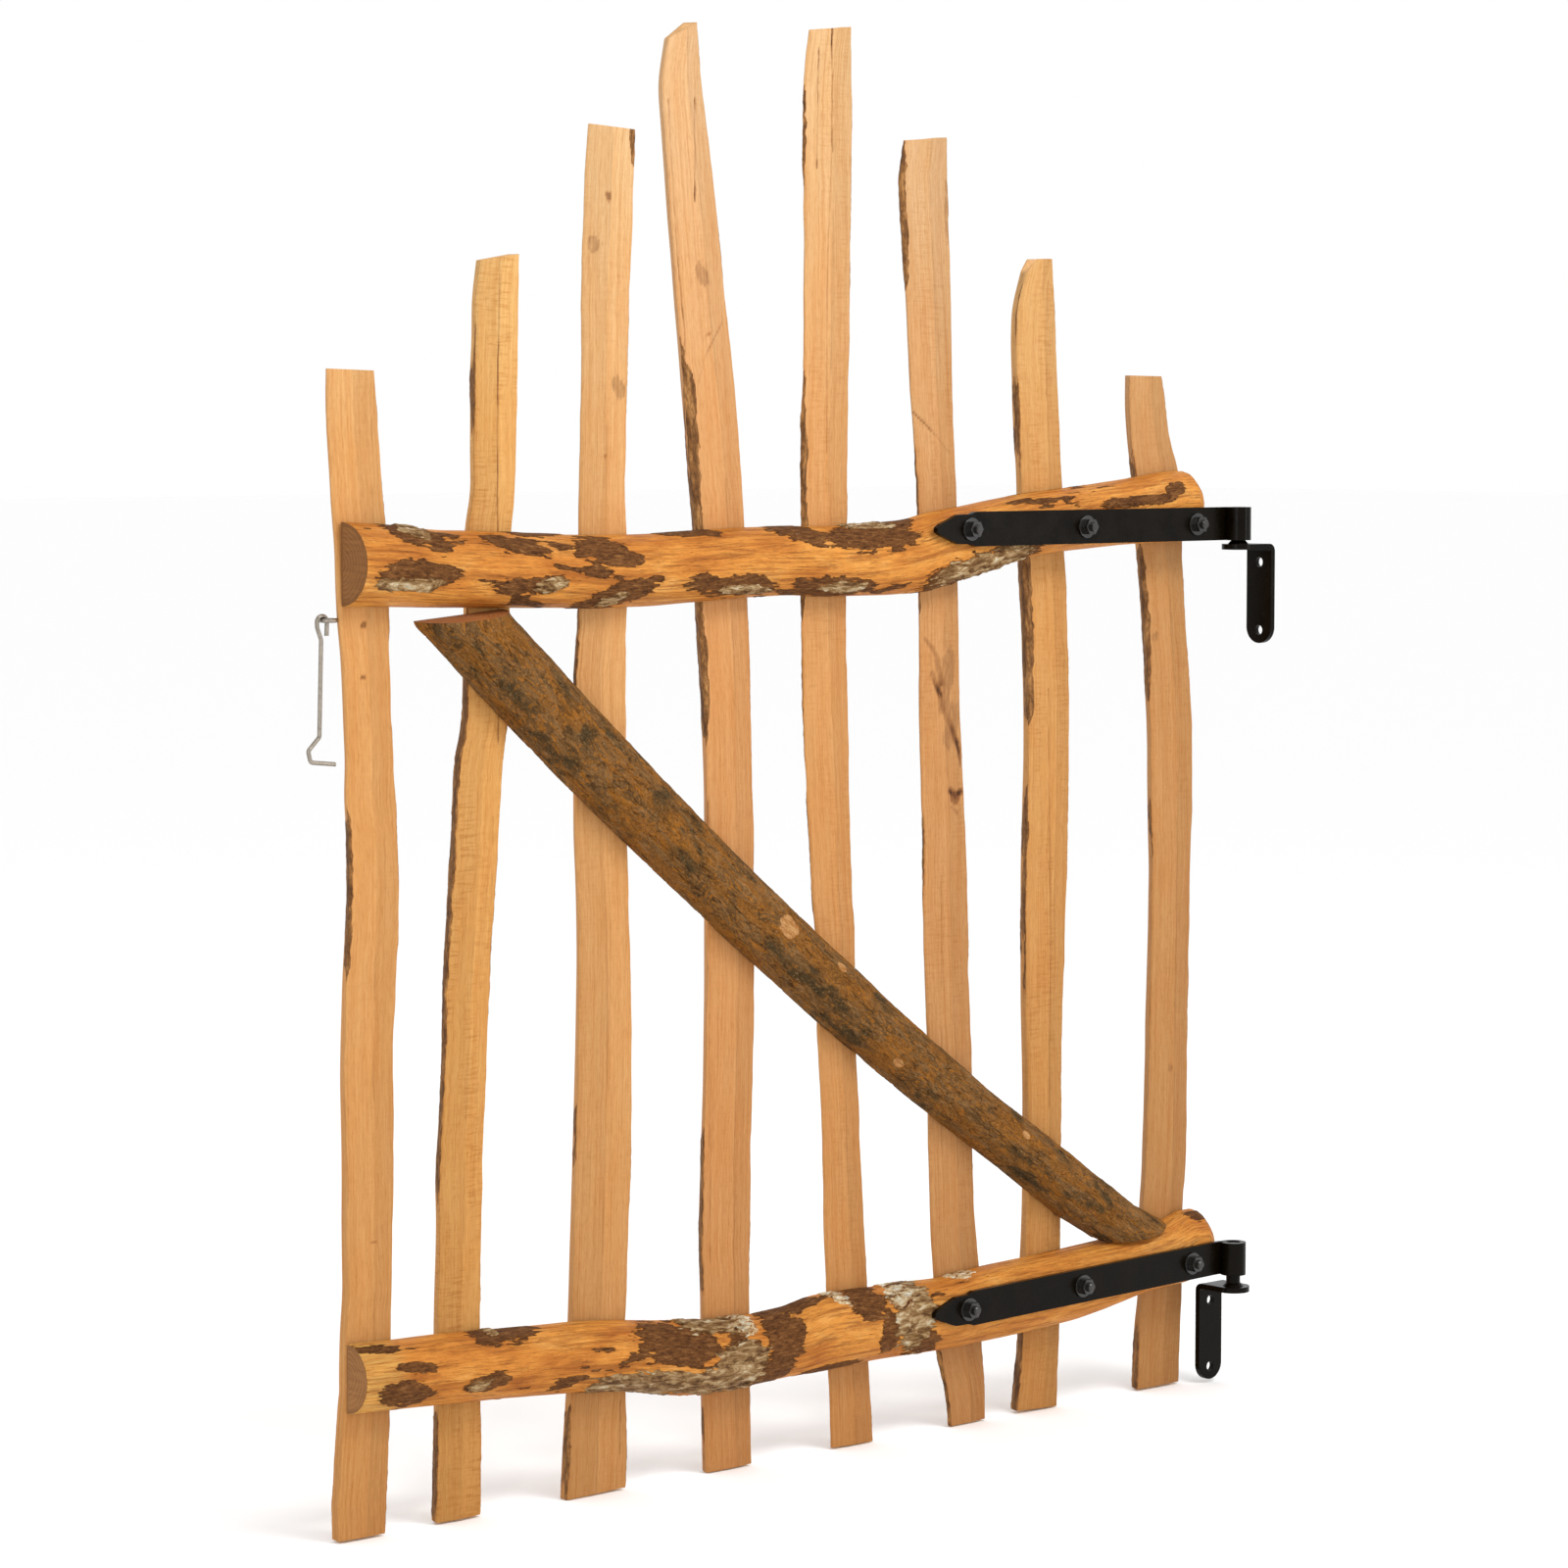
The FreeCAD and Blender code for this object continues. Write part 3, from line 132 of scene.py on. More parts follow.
# cracks and score lines on the faces: points, half width, strength
SCORE = {
    1: [([(20, 905), (21, 760)], 0.35, 0.35)],
    2: [([(148.6, 1003), (146.1, 900), (145.5, 798), (146, 620)], 0.45, 0.75), ([(140, 560), (136, 300), (133, 40)], 0.4, 0.35)],
    3: [([(262, 760), (262, 420), (262, 90)], 0.4, 0.30), ([(272, 66), (272, 20)], 0.6, 0.9)],
    4: [([(355.2, 1142.8), (355.1, 1058.4)], 0.5, 0.9), ([(327, 1141), (337, 1010), (344.2, 957), (347.3, 901)], 0.6, 0.8),
        ([(370, 560), (371, 330), (372, 170)], 0.4, 0.4), ([(385, 958), (366, 930), (360, 908)], 0.6, 0.55)],
    5: [([(508.9, 1209), (509, 1104)], 0.7, 1.0), ([(509, 1104), (504.5, 1025), (503, 850)], 0.35, 0.45), ([(494, 1190), (492, 1090)], 0.5, 0.8)],
    6: [([(620, 688), (629, 679), (637, 668)], 2.0, 1.0), ([(634, 668), (639, 650)], 3.6, 1.0), ([(628, 658), (637, 640), (643, 624)], 2.6, 1.0), ([(643, 624), (653, 608), (659, 596)], 2.8, 1.0), ([(659, 598), (663, 576)], 1.8, 1.0),
        ([(648, 690), (653, 660)], 0.9, 0.5), ([(651, 554), (657, 549), (663, 553)], 3.0, 1.0), ([(650, 540), (659, 534)], 1.5, 0.6), ([(606, 884), (627, 868), (648, 849)], 0.9, 0.7), ([(640, 480), (641, 240)], 0.35, 0.4)],
    7: [([(771.6, 640), (775, 400), (773, 90)], 0.4, 0.55), ([(768, 1000), (766, 900)], 0.4, 0.4)],
    8: [([(905, 560), (906, 300)], 0.35, 0.3)],
}
SAW = {1: 0.15, 2: 1.0, 3: 0.25, 4: 0.2, 5: 0.45, 6: 0.5, 7: 0.7, 8: 0.3}
TOP_RAIL = [
    (-12, 799, 733, 34, 2.0), (25, 796.6, 731.5, 33.5, 2.05), (75, 791.5, 729.5, 32.5, 2.1),
    (130, 789.3, 728, 31, 2.1), (184, 786.5, 726.5, 30, 2.1), (240, 784.3, 725, 29.5, 2.1),
    (300, 784.6, 724.8, 29, 2.1), (350, 786.3, 726.8, 29, 2.1), (405, 788.3, 729, 28.5, 2.1),
    (455, 788.5, 730, 28, 2.1), (517, 787.4, 727.6, 28.5, 2.1), (560, 789, 727.4, 29, 2.15),
    (592, 791.6, 728, 29, 2.25), (614, 797.4, 729.5, 29, 2.4), (652, 801.7, 738.5, 29, 2.4),
    (682, 806.2, 744.5, 29, 2.4), (726, 812, 755.8, 29, 2.4), (788, 817.2, 761.5, 29, 2.4),
    (863, 824.4, 765.8, 29, 2.4), (916, 831.2, 766.6, 29, 2.4), (934, 831.4, 766.8, 29, 2.4),
    (942, 825, 770, 27, 2.2), (946, 816, 777, 22, 2.1),
]
LOW_RAIL = [
    (-12, 150, 94, 27, 2.0), (32, 148, 91.5, 27.5, 2.05), (77, 147, 89.5, 28, 2.1),
    (143, 142.6, 85.8, 28, 2.1), (217, 139.7, 80.5, 28.5, 2.1), (264, 135, 77.2, 29, 2.1),
    (300, 130, 69.5, 29.5, 2.1), (326, 127, 62.9, 30, 2.1), (360, 122.2, 60.2, 30, 2.1),
    (414, 121, 61.5, 29.5, 2.1), (453, 123, 63, 29, 2.15), (481, 129, 62.5, 29, 2.15),
    (553, 127.8, 64, 29, 2.2), (590, 127.8, 63.5, 29, 2.3), (630, 126, 63, 29, 2.4),
    (692, 131, 64, 29, 2.4), (754, 132.5, 66.5, 29, 2.4), (800, 135, 69, 29, 2.4),
    (843, 137.3, 75.5, 29, 2.3), (888, 141.5, 83, 29, 2.2), (908, 144.2, 84.4, 29, 2.2),
    (918, 145.9, 84.8, 29, 2.2), (937, 152, 85.2, 29, 2.3), (956, 152.5, 87.5, 28, 2.2), (965, 143.5, 96, 24, 2.1),
]
BRACE = [(721, 104.2, 46.2, 30), (660, 171.5, 50.5, 31), (588, 255, 50.3, 30.5), (512, 347.8, 49, 30),
         (440, 438.8, 48.7, 29.5), (360, 543.8, 48.2, 29), (285, 649.2, 46.6, 28), (215, 755.4, 46.8, 27.5),
         (165, 830, 48, 27)]


# ------------------------------------------------------------------ noise
def _hash(i, j, seed):
    n = (i * 374761393 + j * 668265263 + seed * 144269504) & 0xFFFFFFFF
    n = ((n ^ (n >> 13)) * 1274126177) & 0xFFFFFFFF
    n = ((n ^ (n >> 15)) * 2246822519) & 0xFFFFFFFF
    return ((n ^ (n >> 16)) & 0xFFFF) / 65535.0


def vn(x, y, seed):
    x, y = np.broadcast_arrays(np.asarray(x, float), np.asarray(y, float))
    xi, yi = np.floor(x).astype(np.int64), np.floor(y).astype(np.int64)
    fx, fy = x - xi, y - yi
    fx, fy = fx * fx * (3 - 2 * fx), fy * fy * (3 - 2 * fy)
    a, b = _hash(xi, yi, seed), _hash(xi + 1, yi, seed)
    c, d = _hash(xi, yi + 1, seed), _hash(xi + 1, yi + 1, seed)
    return (a * (1 - fx) + b * fx) * (1 - fy) + (c * (1 - fx) + d * fx) * fy


def fbm(x, y, seed, octaves=3):
    out, amp, tot = 0.0, 1.0, 0.0
    for k in range(octaves):
        out = out + amp * vn(x * 2 ** k, y * 2 ** k, seed + 17 * k)
        tot += amp
        amp *= 0.5
    return out / tot


def sm(a, lo, hi):
    v = np.clip((a - lo) / (hi - lo), 0, 1)
    return v * v * (3 - 2 * v)


def soft(a, k):
    p = np.concatenate([2 * a[0] - a[1:k + 1][::-1], a, 2 * a[-1] - a[-k - 1:-1][::-1]])
    w = np.hanning(2 * k + 3)[1:-1]
    return np.convolve(p, w / w.sum(), mode="valid")


# ------------------------------------------------------------------ meshes
def skin(name, P, gc, mk, tint, mats, cap_mats=(1, 1), rings=6, angle=48, shade_z=None, node=None, back=None, painted_facet_shade=None):
    """P (stations, ring, 3) in mm, closed round the ring, with both ends capped."""
    S, N, _ = P.shape
    verts = [P.reshape(-1, 3)]
    gcs = [gc.reshape(-1, 3)]
    mks = [mk.reshape(-1, 4)]
    a = np.arange(N)
    b = (a + 1) % N
    s = np.arange(S - 1)[:, None]
    quads = np.stack([s * N + a, s * N + b, (s + 1) * N + b, (s + 1) * N + a], axis=-1).reshape(-1, 4)
    faces = [quads]
    tris = []
    mats_q = [np.zeros(len(quads), int) if back is None else np.where(np.tile(a >= back - 1, S - 1), 2, 0)]
    mats_t = []
    base = S * N
    for e, idx in ((0, 0), (1, S - 1)):
        ring = P[idx]
        c = ring.mean(0)
        prev = np.arange(idx * N, idx * N + N)
        for k in range(1, rings):
            f = 1 - k / rings
            pts = c + (ring - c) * f
            verts.append(pts)
            g = np.stack([pts[:, 0], pts[:, 1], pts[:, 2]], 1)
            gcs.append(g)
            m = mk[idx] * 0.0
            m[:, 3] = 1.0
            mks.append(m)
            cur = np.arange(base, base + N)
            base += N
            q = np.stack([prev[a], prev[b], cur[b], cur[a]], 1)
            faces.append(q if e == 1 else q[:, ::-1])
            mats_q.append(np.full(N, cap_mats[e]))
            prev = cur
        verts.append(c[None])
        gcs.append(c[None])
        mks.append(np.array([[0, 0, 0, 1.0]]))
        t = np.stack([prev[a], prev[b], np.full(N, base)], 1)
        base += 1
        tris.append(t if e == 1 else t[:, ::-1])
        mats_t.append(np.full(N, cap_mats[e]))
    V = (np.concatenate(verts) + OFF) * 0.001
    if node is not None:
        lo_, hi_ = (np.array(v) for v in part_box(node))
        V = np.clip(V, lo_ - np.array([0.0008, 0, 0]), hi_ + np.array([0.0008, 0, 0]))
    quads = np.concatenate(faces)
    tr = np.concatenate(tris)
    # turn everything outward if the signed volume says so
    A, B_, C_, D_ = (V[quads[:, k]] for k in range(4))
    vol = np.einsum("ij,ij->i", A, np.cross(B_, C_)).sum() + np.einsum("ij,ij->i", A, np.cross(C_, D_)).sum()
    if vol < 0:
        quads = quads[:, ::-1]
        tr = tr[:, ::-1]
    me = bpy.data.meshes.new(name)
    nq, ntri = len(quads), len(tr)
    me.vertices.add(len(V))
    me.vertices.foreach_set("co", V.astype(np.float32).ravel())
    me.loops.add(nq * 4 + ntri * 3)
    me.loops.foreach_set("vertex_index", np.concatenate([quads.ravel(), tr.ravel()]).astype(np.int32))
    me.polygons.add(nq + ntri)
    st = np.concatenate([np.arange(nq) * 4, nq * 4 + np.arange(ntri) * 3]).astype(np.int32)
    me.polygons.foreach_set("loop_start", st)
    me.polygons.foreach_set("material_index", np.concatenate(mats_q + mats_t).astype(np.int32))
    me.update(calc_edges=True)
    me.validate()
    me.polygons.foreach_set("use_smooth", np.ones(len(me.polygons), bool))
    g = me.attributes.new("gc", "FLOAT_VECTOR", "POINT")
    g.data.foreach_set("vector", (np.concatenate(gcs) * 0.001).astype(np.float32).ravel())
    m = me.attributes.new("mk", "FLOAT_COLOR", "POINT")
    m.data.foreach_set("color", np.concatenate(mks).astype(np.float32).ravel())
    t = me.attributes.new("tint", "FLOAT_COLOR", "POINT")
    tt = np.tile(np.array(tint, np.float32), (len(V), 1))
    if shade_z is not None:
        zz = V[:, 2] * 1000 - OFF[2]
        # painted shade by height: the tint is darkened towards the feet and brightened towards the tips
        tt[:, :3] *= shade_z(zz)
        # paler and bluer towards the tops, part of the same height gradient: partly the wood's own tone, partly painted
        # light from above
        up = sm(zz, 760, 1120)[:, None]
        tt[:, :3] *= 1 + up * np.array([-0.02, 0.05, 0.20]) + (1 - up) * np.array([-0.03, -0.02, 0.0])
    # multiply in the painted shade of the split faces
    if painted_facet_shade is not None:
        tt[:S * N, :3] *= painted_facet_shade.reshape(-1, 1)
    t.data.foreach_set("color", tt.ravel())
    for mt in mats:
        me.materials.append(mt)
    me.set_sharp_from_angle(angle=math.radians(angle))
    ob = bpy.data.objects.new(name, me)
    bpy.context.scene.collection.objects.link(ob)
    return ob


def normals(P):
    """Outward normals of a ring grid."""
    du = np.roll(P, -1, 1) - np.roll(P, 1, 1)
    dv = np.gradient(P, axis=0)
    n = np.cross(du, dv)
    n /= np.linalg.norm(n, axis=2, keepdims=True) + 1e-9
    c = P.mean(1, keepdims=True)
    if ((P - c) * n).sum() < 0:
        n = -n
    return n


def patches(x, z, arc, table, seed):
    """Masks D, L and W from a list of patches in the front view."""
    out = {"D": 0.0 * x, "L": 0.0 * x, "W": 0.0 * x, "K": 0.0 * x, "S": 0.0 * x, "B": 0.0 * x}
    wx = (fbm(x / 16, arc / 6, seed) - 0.5)
    wz = (fbm(x / 11, arc / 5, seed + 5) - 0.5)
    fine = (fbm(x / 9, arc / 1.6, seed + 9) - 0.5)
    for (xc, zc, hw, hh, ang, kind) in table:
        a = math.radians(ang)
        dx, dz = x - xc + wx * min(16, hw * 0.7), z - zc + wz * min(9, hh * 0.9)
        e1 = dx * math.cos(a) - dz * math.sin(a)
        e2 = dx * math.sin(a) + dz * math.cos(a)
        r = (np.abs(e1 / hw) ** 2.4 + np.abs(e2 / hh) ** 2.4) ** (1 / 2.4)
        m = 1 - sm(r + fine * 0.55, 0.86, 1.1)
        out[kind] = np.maximum(out[kind], m)
    return out


def wood_tone_and_painted_shade_by_height(z):
    """The boards are darker towards their feet and paler towards their tips: partly the wood's own tone, partly painted
    shade of light falling from above.
    """
    k = [-10, 150, 500, 800, 1000, 1210]
    return np.stack([np.interp(z, k, c) for c in ((0.80, 0.88, 0.97, 1.02, 1.04, 1.06), (0.76, 0.86, 0.97, 1.04, 1.14, 1.28), (0.66, 0.78, 0.92, 1.02, 1.22, 1.52))], 1).astype(np.float32)


def scores(x, z, lines, seed):
    m = 0 * x
    wob = (fbm(z / 13, x / 9, seed, 4) - 0.5) * 3.4
    for pts, hw, st in lines:
        for (xa, za), (xb, zb) in zip(pts[:-1], pts[1:]):
            dx, dz = xb - xa, zb - za
            t = np.clip(((x - xa) * dx + (z - za) * dz) / (dx * dx + dz * dz), 0, 1)
            d = np.hypot(x + wob * min(1, hw) - xa - t * dx, z - za - t * dz)
            m = np.maximum(m, st * (1 - sm(d, hw * 0.4, hw * 1.5 + 0.7)) * (0.45 + 0.55 * sm(fbm(z / 28, x / 40, seed + 3), 0.35, 0.55)))
    return m


# ------------------------------------------------------------------ pickets
def make_picket(i, mats):
    th, zb, zt, col, (f0, dl, dr) = PICK[i]
    S = 460
    s = np.linspace(0, 1, S)
    u = np.linspace(0, 1, 34)
    z_mid = zb[0] + (zt[0] - zb[0]) * s
    k = max(3, S // 50)
    L, B, R = (soft(np.interp(s, u, np.array(a)), k) for a in DENSE[i])
    L = L - 0.5 + (fbm(z_mid / 22, 0 * s, 31 * i) - 0.5) * 1.6
    R = R + 0.9 + (fbm(z_mid / 26, 0 * s + 9, 31 * i + 3) - 0.5) * 1.6
    w_strip = np.interp(z_mid, [q[0] for q in STRIP[i]], [q[1] for q in STRIP[i]])
    w_side = np.interp(z_mid, [q[0] for q in STRIP[i]], [q[2] for q in STRIP[i]])
    # a broken bark edge
    L = L + np.where(w_strip > 0, (fbm(z_mid / 7, 0 * s + 4, 77 + i) - 0.45) * 1.8, 0)
    nF, nS, nB = ((52, 11, 20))
    ff = np.linspace(0, 1, nF, endpoint=False)
    fs = np.linspace(0, 1, nS, endpoint=False)
    fb = np.linspace(0, 1, nB, endpoint=False)
    BR = R - 2.5 - 3.0 * fbm(z_mid / 120, 0 * s, 5 * i + 1)
    B = np.maximum(B, L + 1.0)
    f = np.concatenate([ff, np.ones(nS), 1 - fb, np.zeros(nS)])
    depth = np.concatenate([np.zeros(nF), fs, np.ones(nB), 1 - fs])
    N = len(f)
    F, Dp = np.broadcast_to(f, (S, N)), np.broadcast_to(depth, (S, N))
    Ls, Rs, Bs, BRs = (a[:, None] for a in (L, R, B, BR))
    lo = Ls + (Bs - Ls) * Dp ** 1.3
    hi = Rs + (BRs - Rs) * Dp ** 1.3
    X = lo + (hi - lo) * F
    if i == 7:
        apex = np.interp(F, [0, 0.36, 1], [0, 7.7, 0])
    else:
        apex = 0 * F
    zbot = zb[0] + (zb[1] - zb[0]) * F
    ztop = zt[0] + (zt[1] - zt[0]) * F + apex
    sv = s[:, None]
    Z = zbot + (ztop - zbot) * sv
    W = (Rs - Ls)
    fx = F * W
    n1 = fbm(fx / 3.2, Z / 120, 7 * i + 1, 2)
    n2 = vn(fx / 1.5, Z / 40, 7 * i + 2)
    lowf = fbm(fx / 25, Z / 150, 7 * i + 3, 2)
    drop = dl * np.clip((f0 - F) / f0, 0, 1) ** 1.4 + dr * np.clip((F - f0) / (1 - f0), 0, 1) ** 1.4
    yF = 0.25 + drop * (0.6 + 0.8 * fbm(Z / 200, 0 * F + 2, i)) + 1.0 * lowf + 0.55 * (1 - n1) + 0.25 * (1 - n2)
    dedge = np.minimum(fx, W - fx)
    yF = yF + 1.1 * (1 - np.clip(dedge / 1.8, 0, 1)) ** 2
    yB = th - 0.25 - 0.8 * fbm(fx / 20, Z / 140, 9 * i + 4, 2) - 0.4 * fbm(fx / 3, Z / 110, 9 * i + 6, 2) - 0.8 * (1 - np.clip(dedge / 1.8, 0, 1)) ** 2
    Y = yF * (1 - Dp) + yB * Dp
    onF = (np.arange(N) < nF)[None, :] * np.ones((S, 1))
    left = (np.arange(N) >= nF + nS + nB)[None, :] * np.ones((S, 1))
    right = ((np.arange(N) >= nF) & (np.arange(N) < nF + nS))[None, :] * np.ones((S, 1))
    # masks: R bark, G stain and painted side shade, B knot
    ws = w_strip[:, None]
    rag = (fbm(Z / 16, fx / 3, 50 + i) - 0.5) * 5 + (fbm(Z / 5, fx / 1.5, 60 + i) - 0.5) * 2.5
    bark = onF * sm(ws - fx + rag * np.clip(ws / 3, 0.15, 1), -0.5, 0.6)
    # left side faces: bark where the table makes them dark and the stain colour a little further, partly bark, partly
    # painted shade and painted brace shadow
    sd = w_side[:, None] + 0.7 * (fbm(Z / 22, Dp * 2, 70 + i) - 0.5) - 0.25 * Dp
    side = left * sm(sd, 0.55, 0.72)
    bark = np.maximum(bark, side)
    rs = right * sm(fbm(Z / 60, Dp, 75 + i), 0.55, 0.62) * 0.8
    bark = np.maximum(bark, rs)
    pm = patches(fx + Ls, Z, X * 0 + fx, PKM[i], 90 + i)
    bark = np.maximum(bark, pm["B"] * onF)
    stain_and_side_shade = np.maximum(pm["S"] * onF, left * 0.55 * sm(sd, 0.25, 0.5))
    crack = scores(fx + Ls, Z, SCORE[i], 130 + i) * onF
    knot = pm["K"] * onF
    P = np.stack([X, Y, Z], 2)
    n = normals(P)
    edge = np.minimum(1, np.minimum(sv, 1 - sv) * 300)
    P = P + n * (bark * (0.9 * fbm(Z / 4, fx / 2 + Dp * 4, 80 + i) - 0.1) * edge)[..., None]
    P = P - n * (knot * 0.5 + crack * 0.9)[..., None]
    P[..., 1] = np.maximum(P[..., 1], 0.05)
    # the ends are sawn
    gc = np.stack([fx + 100 * i, Dp * 15, Z + 37 * i], 2)
    mk = np.stack([bark, stain_and_side_shade, knot, crack], 2)
    # painted shade: one of the two split faces either side of the ridge is darkened as if it caught less light, and a
    # painted shade line runs along the ridge
    ridge = f0 + 0.10 * (fbm(Z / 260, 0 * F + 5, 140 + i, 2) - 0.5)
    over = sm(F, ridge - 0.012, ridge + 0.012)
    line = np.exp(-(((F - ridge) * W) / 0.55) ** 2) * sm(fbm(Z / 60, 0 * F + 1, 150 + i), 0.38, 0.55)
    painted_facet_shade = (1 - 0.10 * (1 - over if i in (2, 3) else over) - 0.22 * line) * onF + (1 - onF)
    painted_facet_shade = painted_facet_shade.astype(np.float32)
    ob = skin("picket_%d_wood" % i, P, gc, mk, tuple(col) + (SAW[i],), mats, shade_z=wood_tone_and_painted_shade_by_height, node="picket_%d" % i, painted_facet_shade=painted_facet_shade)
    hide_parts("picket_%d" % i)
    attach(ob, "gate_leaf")
    return ob


# -------------------------------------------------------------------- rails
def make_rail(name, node, table, ptab, seed, mats, ridged_end=False):
    S = 560
    x0, x1 = table[0][0], table[-1][0]
    x = np.linspace(x0, x1, S)
    T = np.array(table, float)
    k = max(3, S // 45)
    zt, zb, dp, pw = (np.interp(x, T[:, 0], T[:, j]) for j in (1, 2, 3, 4))
    mid = (x > x0 + 8) & (x < 925)
    for arr in (zt, zb, dp):
        arr[mid] = soft(arr, k)[mid]
    inset = 0.1
    zt, zb, dp = zt - inset, zb + inset, dp - inset
    n1, n2 = ((108, 16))
    a = math.pi / 2 - math.pi * np.linspace(0, 1, n1)
    sn, cs = np.sin(a), np.clip(np.cos(a), 0, 1)
    zc, r = (0.5 * (zt + zb))[:, None], (0.5 * (zt - zb))[:, None]
    pwc = pw[:, None]
    Zf = zc + r * np.sign(sn) * np.abs(sn) ** (2 / pwc)
    Yf = -dp[:, None] * cs ** (2 / pwc)
    tb = np.linspace(0, 1, n2 + 2)[1:-1]
    Zb = Zf[:, -1:] + (Zf[:, :1] - Zf[:, -1:]) * tb
    Yb = 0 * Zb
    Z = np.concatenate([Zf, Zb], 1)
    Y = np.concatenate([Yf, Yb], 1)
    N = Z.shape[1]
    X = x[:, None] * np.ones((1, N))
    P = np.stack([X, Y, Z], 2)
    seg = np.sqrt(np.diff(Y, axis=1) ** 2 + np.diff(Z, axis=1) ** 2)
    arc = np.concatenate([np.zeros((S, 1)), np.cumsum(seg, 1)], 1)
    front = (np.arange(N) < n1)[None, :] * np.ones((S, 1))
    pm = patches(X, Z, arc, ptab, seed)
    # loose scraps of inner bark between the big patches
    scr = sm(fbm(X / 38, arc / 9, seed + 40, 4), 0.60, 0.66) * sm(fbm(X / 160, arc / 40, seed + 44, 2), 0.50, 0.62)
    D = np.maximum(pm["D"], 0.85 * scr) * front
    Lc = pm["L"] * front
    Wt = pm["W"] * front
    n = normals(P)
    disp = 0.9 * (fbm(arc / 24, X / 70, seed + 1) - 0.5) + 0.55 * (fbm(arc / 2.6, X / 60, seed + 2, 2) - 0.5)
    disp += 0.3 * (vn(arc / 1.2, X / 22, seed + 3) - 0.5)
    disp += D * (0.55 + 0.5 * (fbm(arc / 2.0, X / 9, seed + 4) - 0.5))
    disp += Lc * (1.2 + 2.4 * (fbm(arc / 3.4, X / 4.2, seed + 5, 3) - 0.5))
    disp += Wt * (1.0 + 1.8 * (fbm(arc / 3.0, X / 3.0, seed + 6, 3) - 0.5))
    if ridged_end:
        # corrugated fibres beside the sawn end
        ridge = np.abs(((arc / 3.1 + 0.4 * fbm(X / 20, arc / 9, seed + 7)) % 1.0) - 0.5) * 2
        disp += front * (0.9 * ridge - 0.6) * (1 - sm(X, x0 + 26, x0 + 48))
    disp = np.clip(disp, -1.6, 2.4)
    back = 1 - front
    disp = disp * front - 0.25 * back * fbm(Z / 3, X / 80, seed + 8, 2)
    P = P + n * disp[..., None]
    # nothing stands in front of the strap seat or behind the rail's back
    on = (X > 585)
    P[..., 1] = np.where(on, np.maximum(P[..., 1], -28.9), P[..., 1])
    P[..., 1] = np.minimum(P[..., 1], -0.02)
    P[..., 0] = np.clip(P[..., 0], x0, x1)
    P[0, :, 0] = x0
    P[-1, :, 0] = x1
    gc = np.stack([arc, Y, X], 2)
    mk = np.stack([D, Lc, Wt, ridged_end * (1 - sm(X, x0 + 26, x0 + 48)) * front], 2)
    ob = skin(name, P, gc, mk, (0.80, 0.52, 0.20, 1.0), mats, rings=9, node=node)
    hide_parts(node)
    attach(ob, "gate_leaf")
    return ob


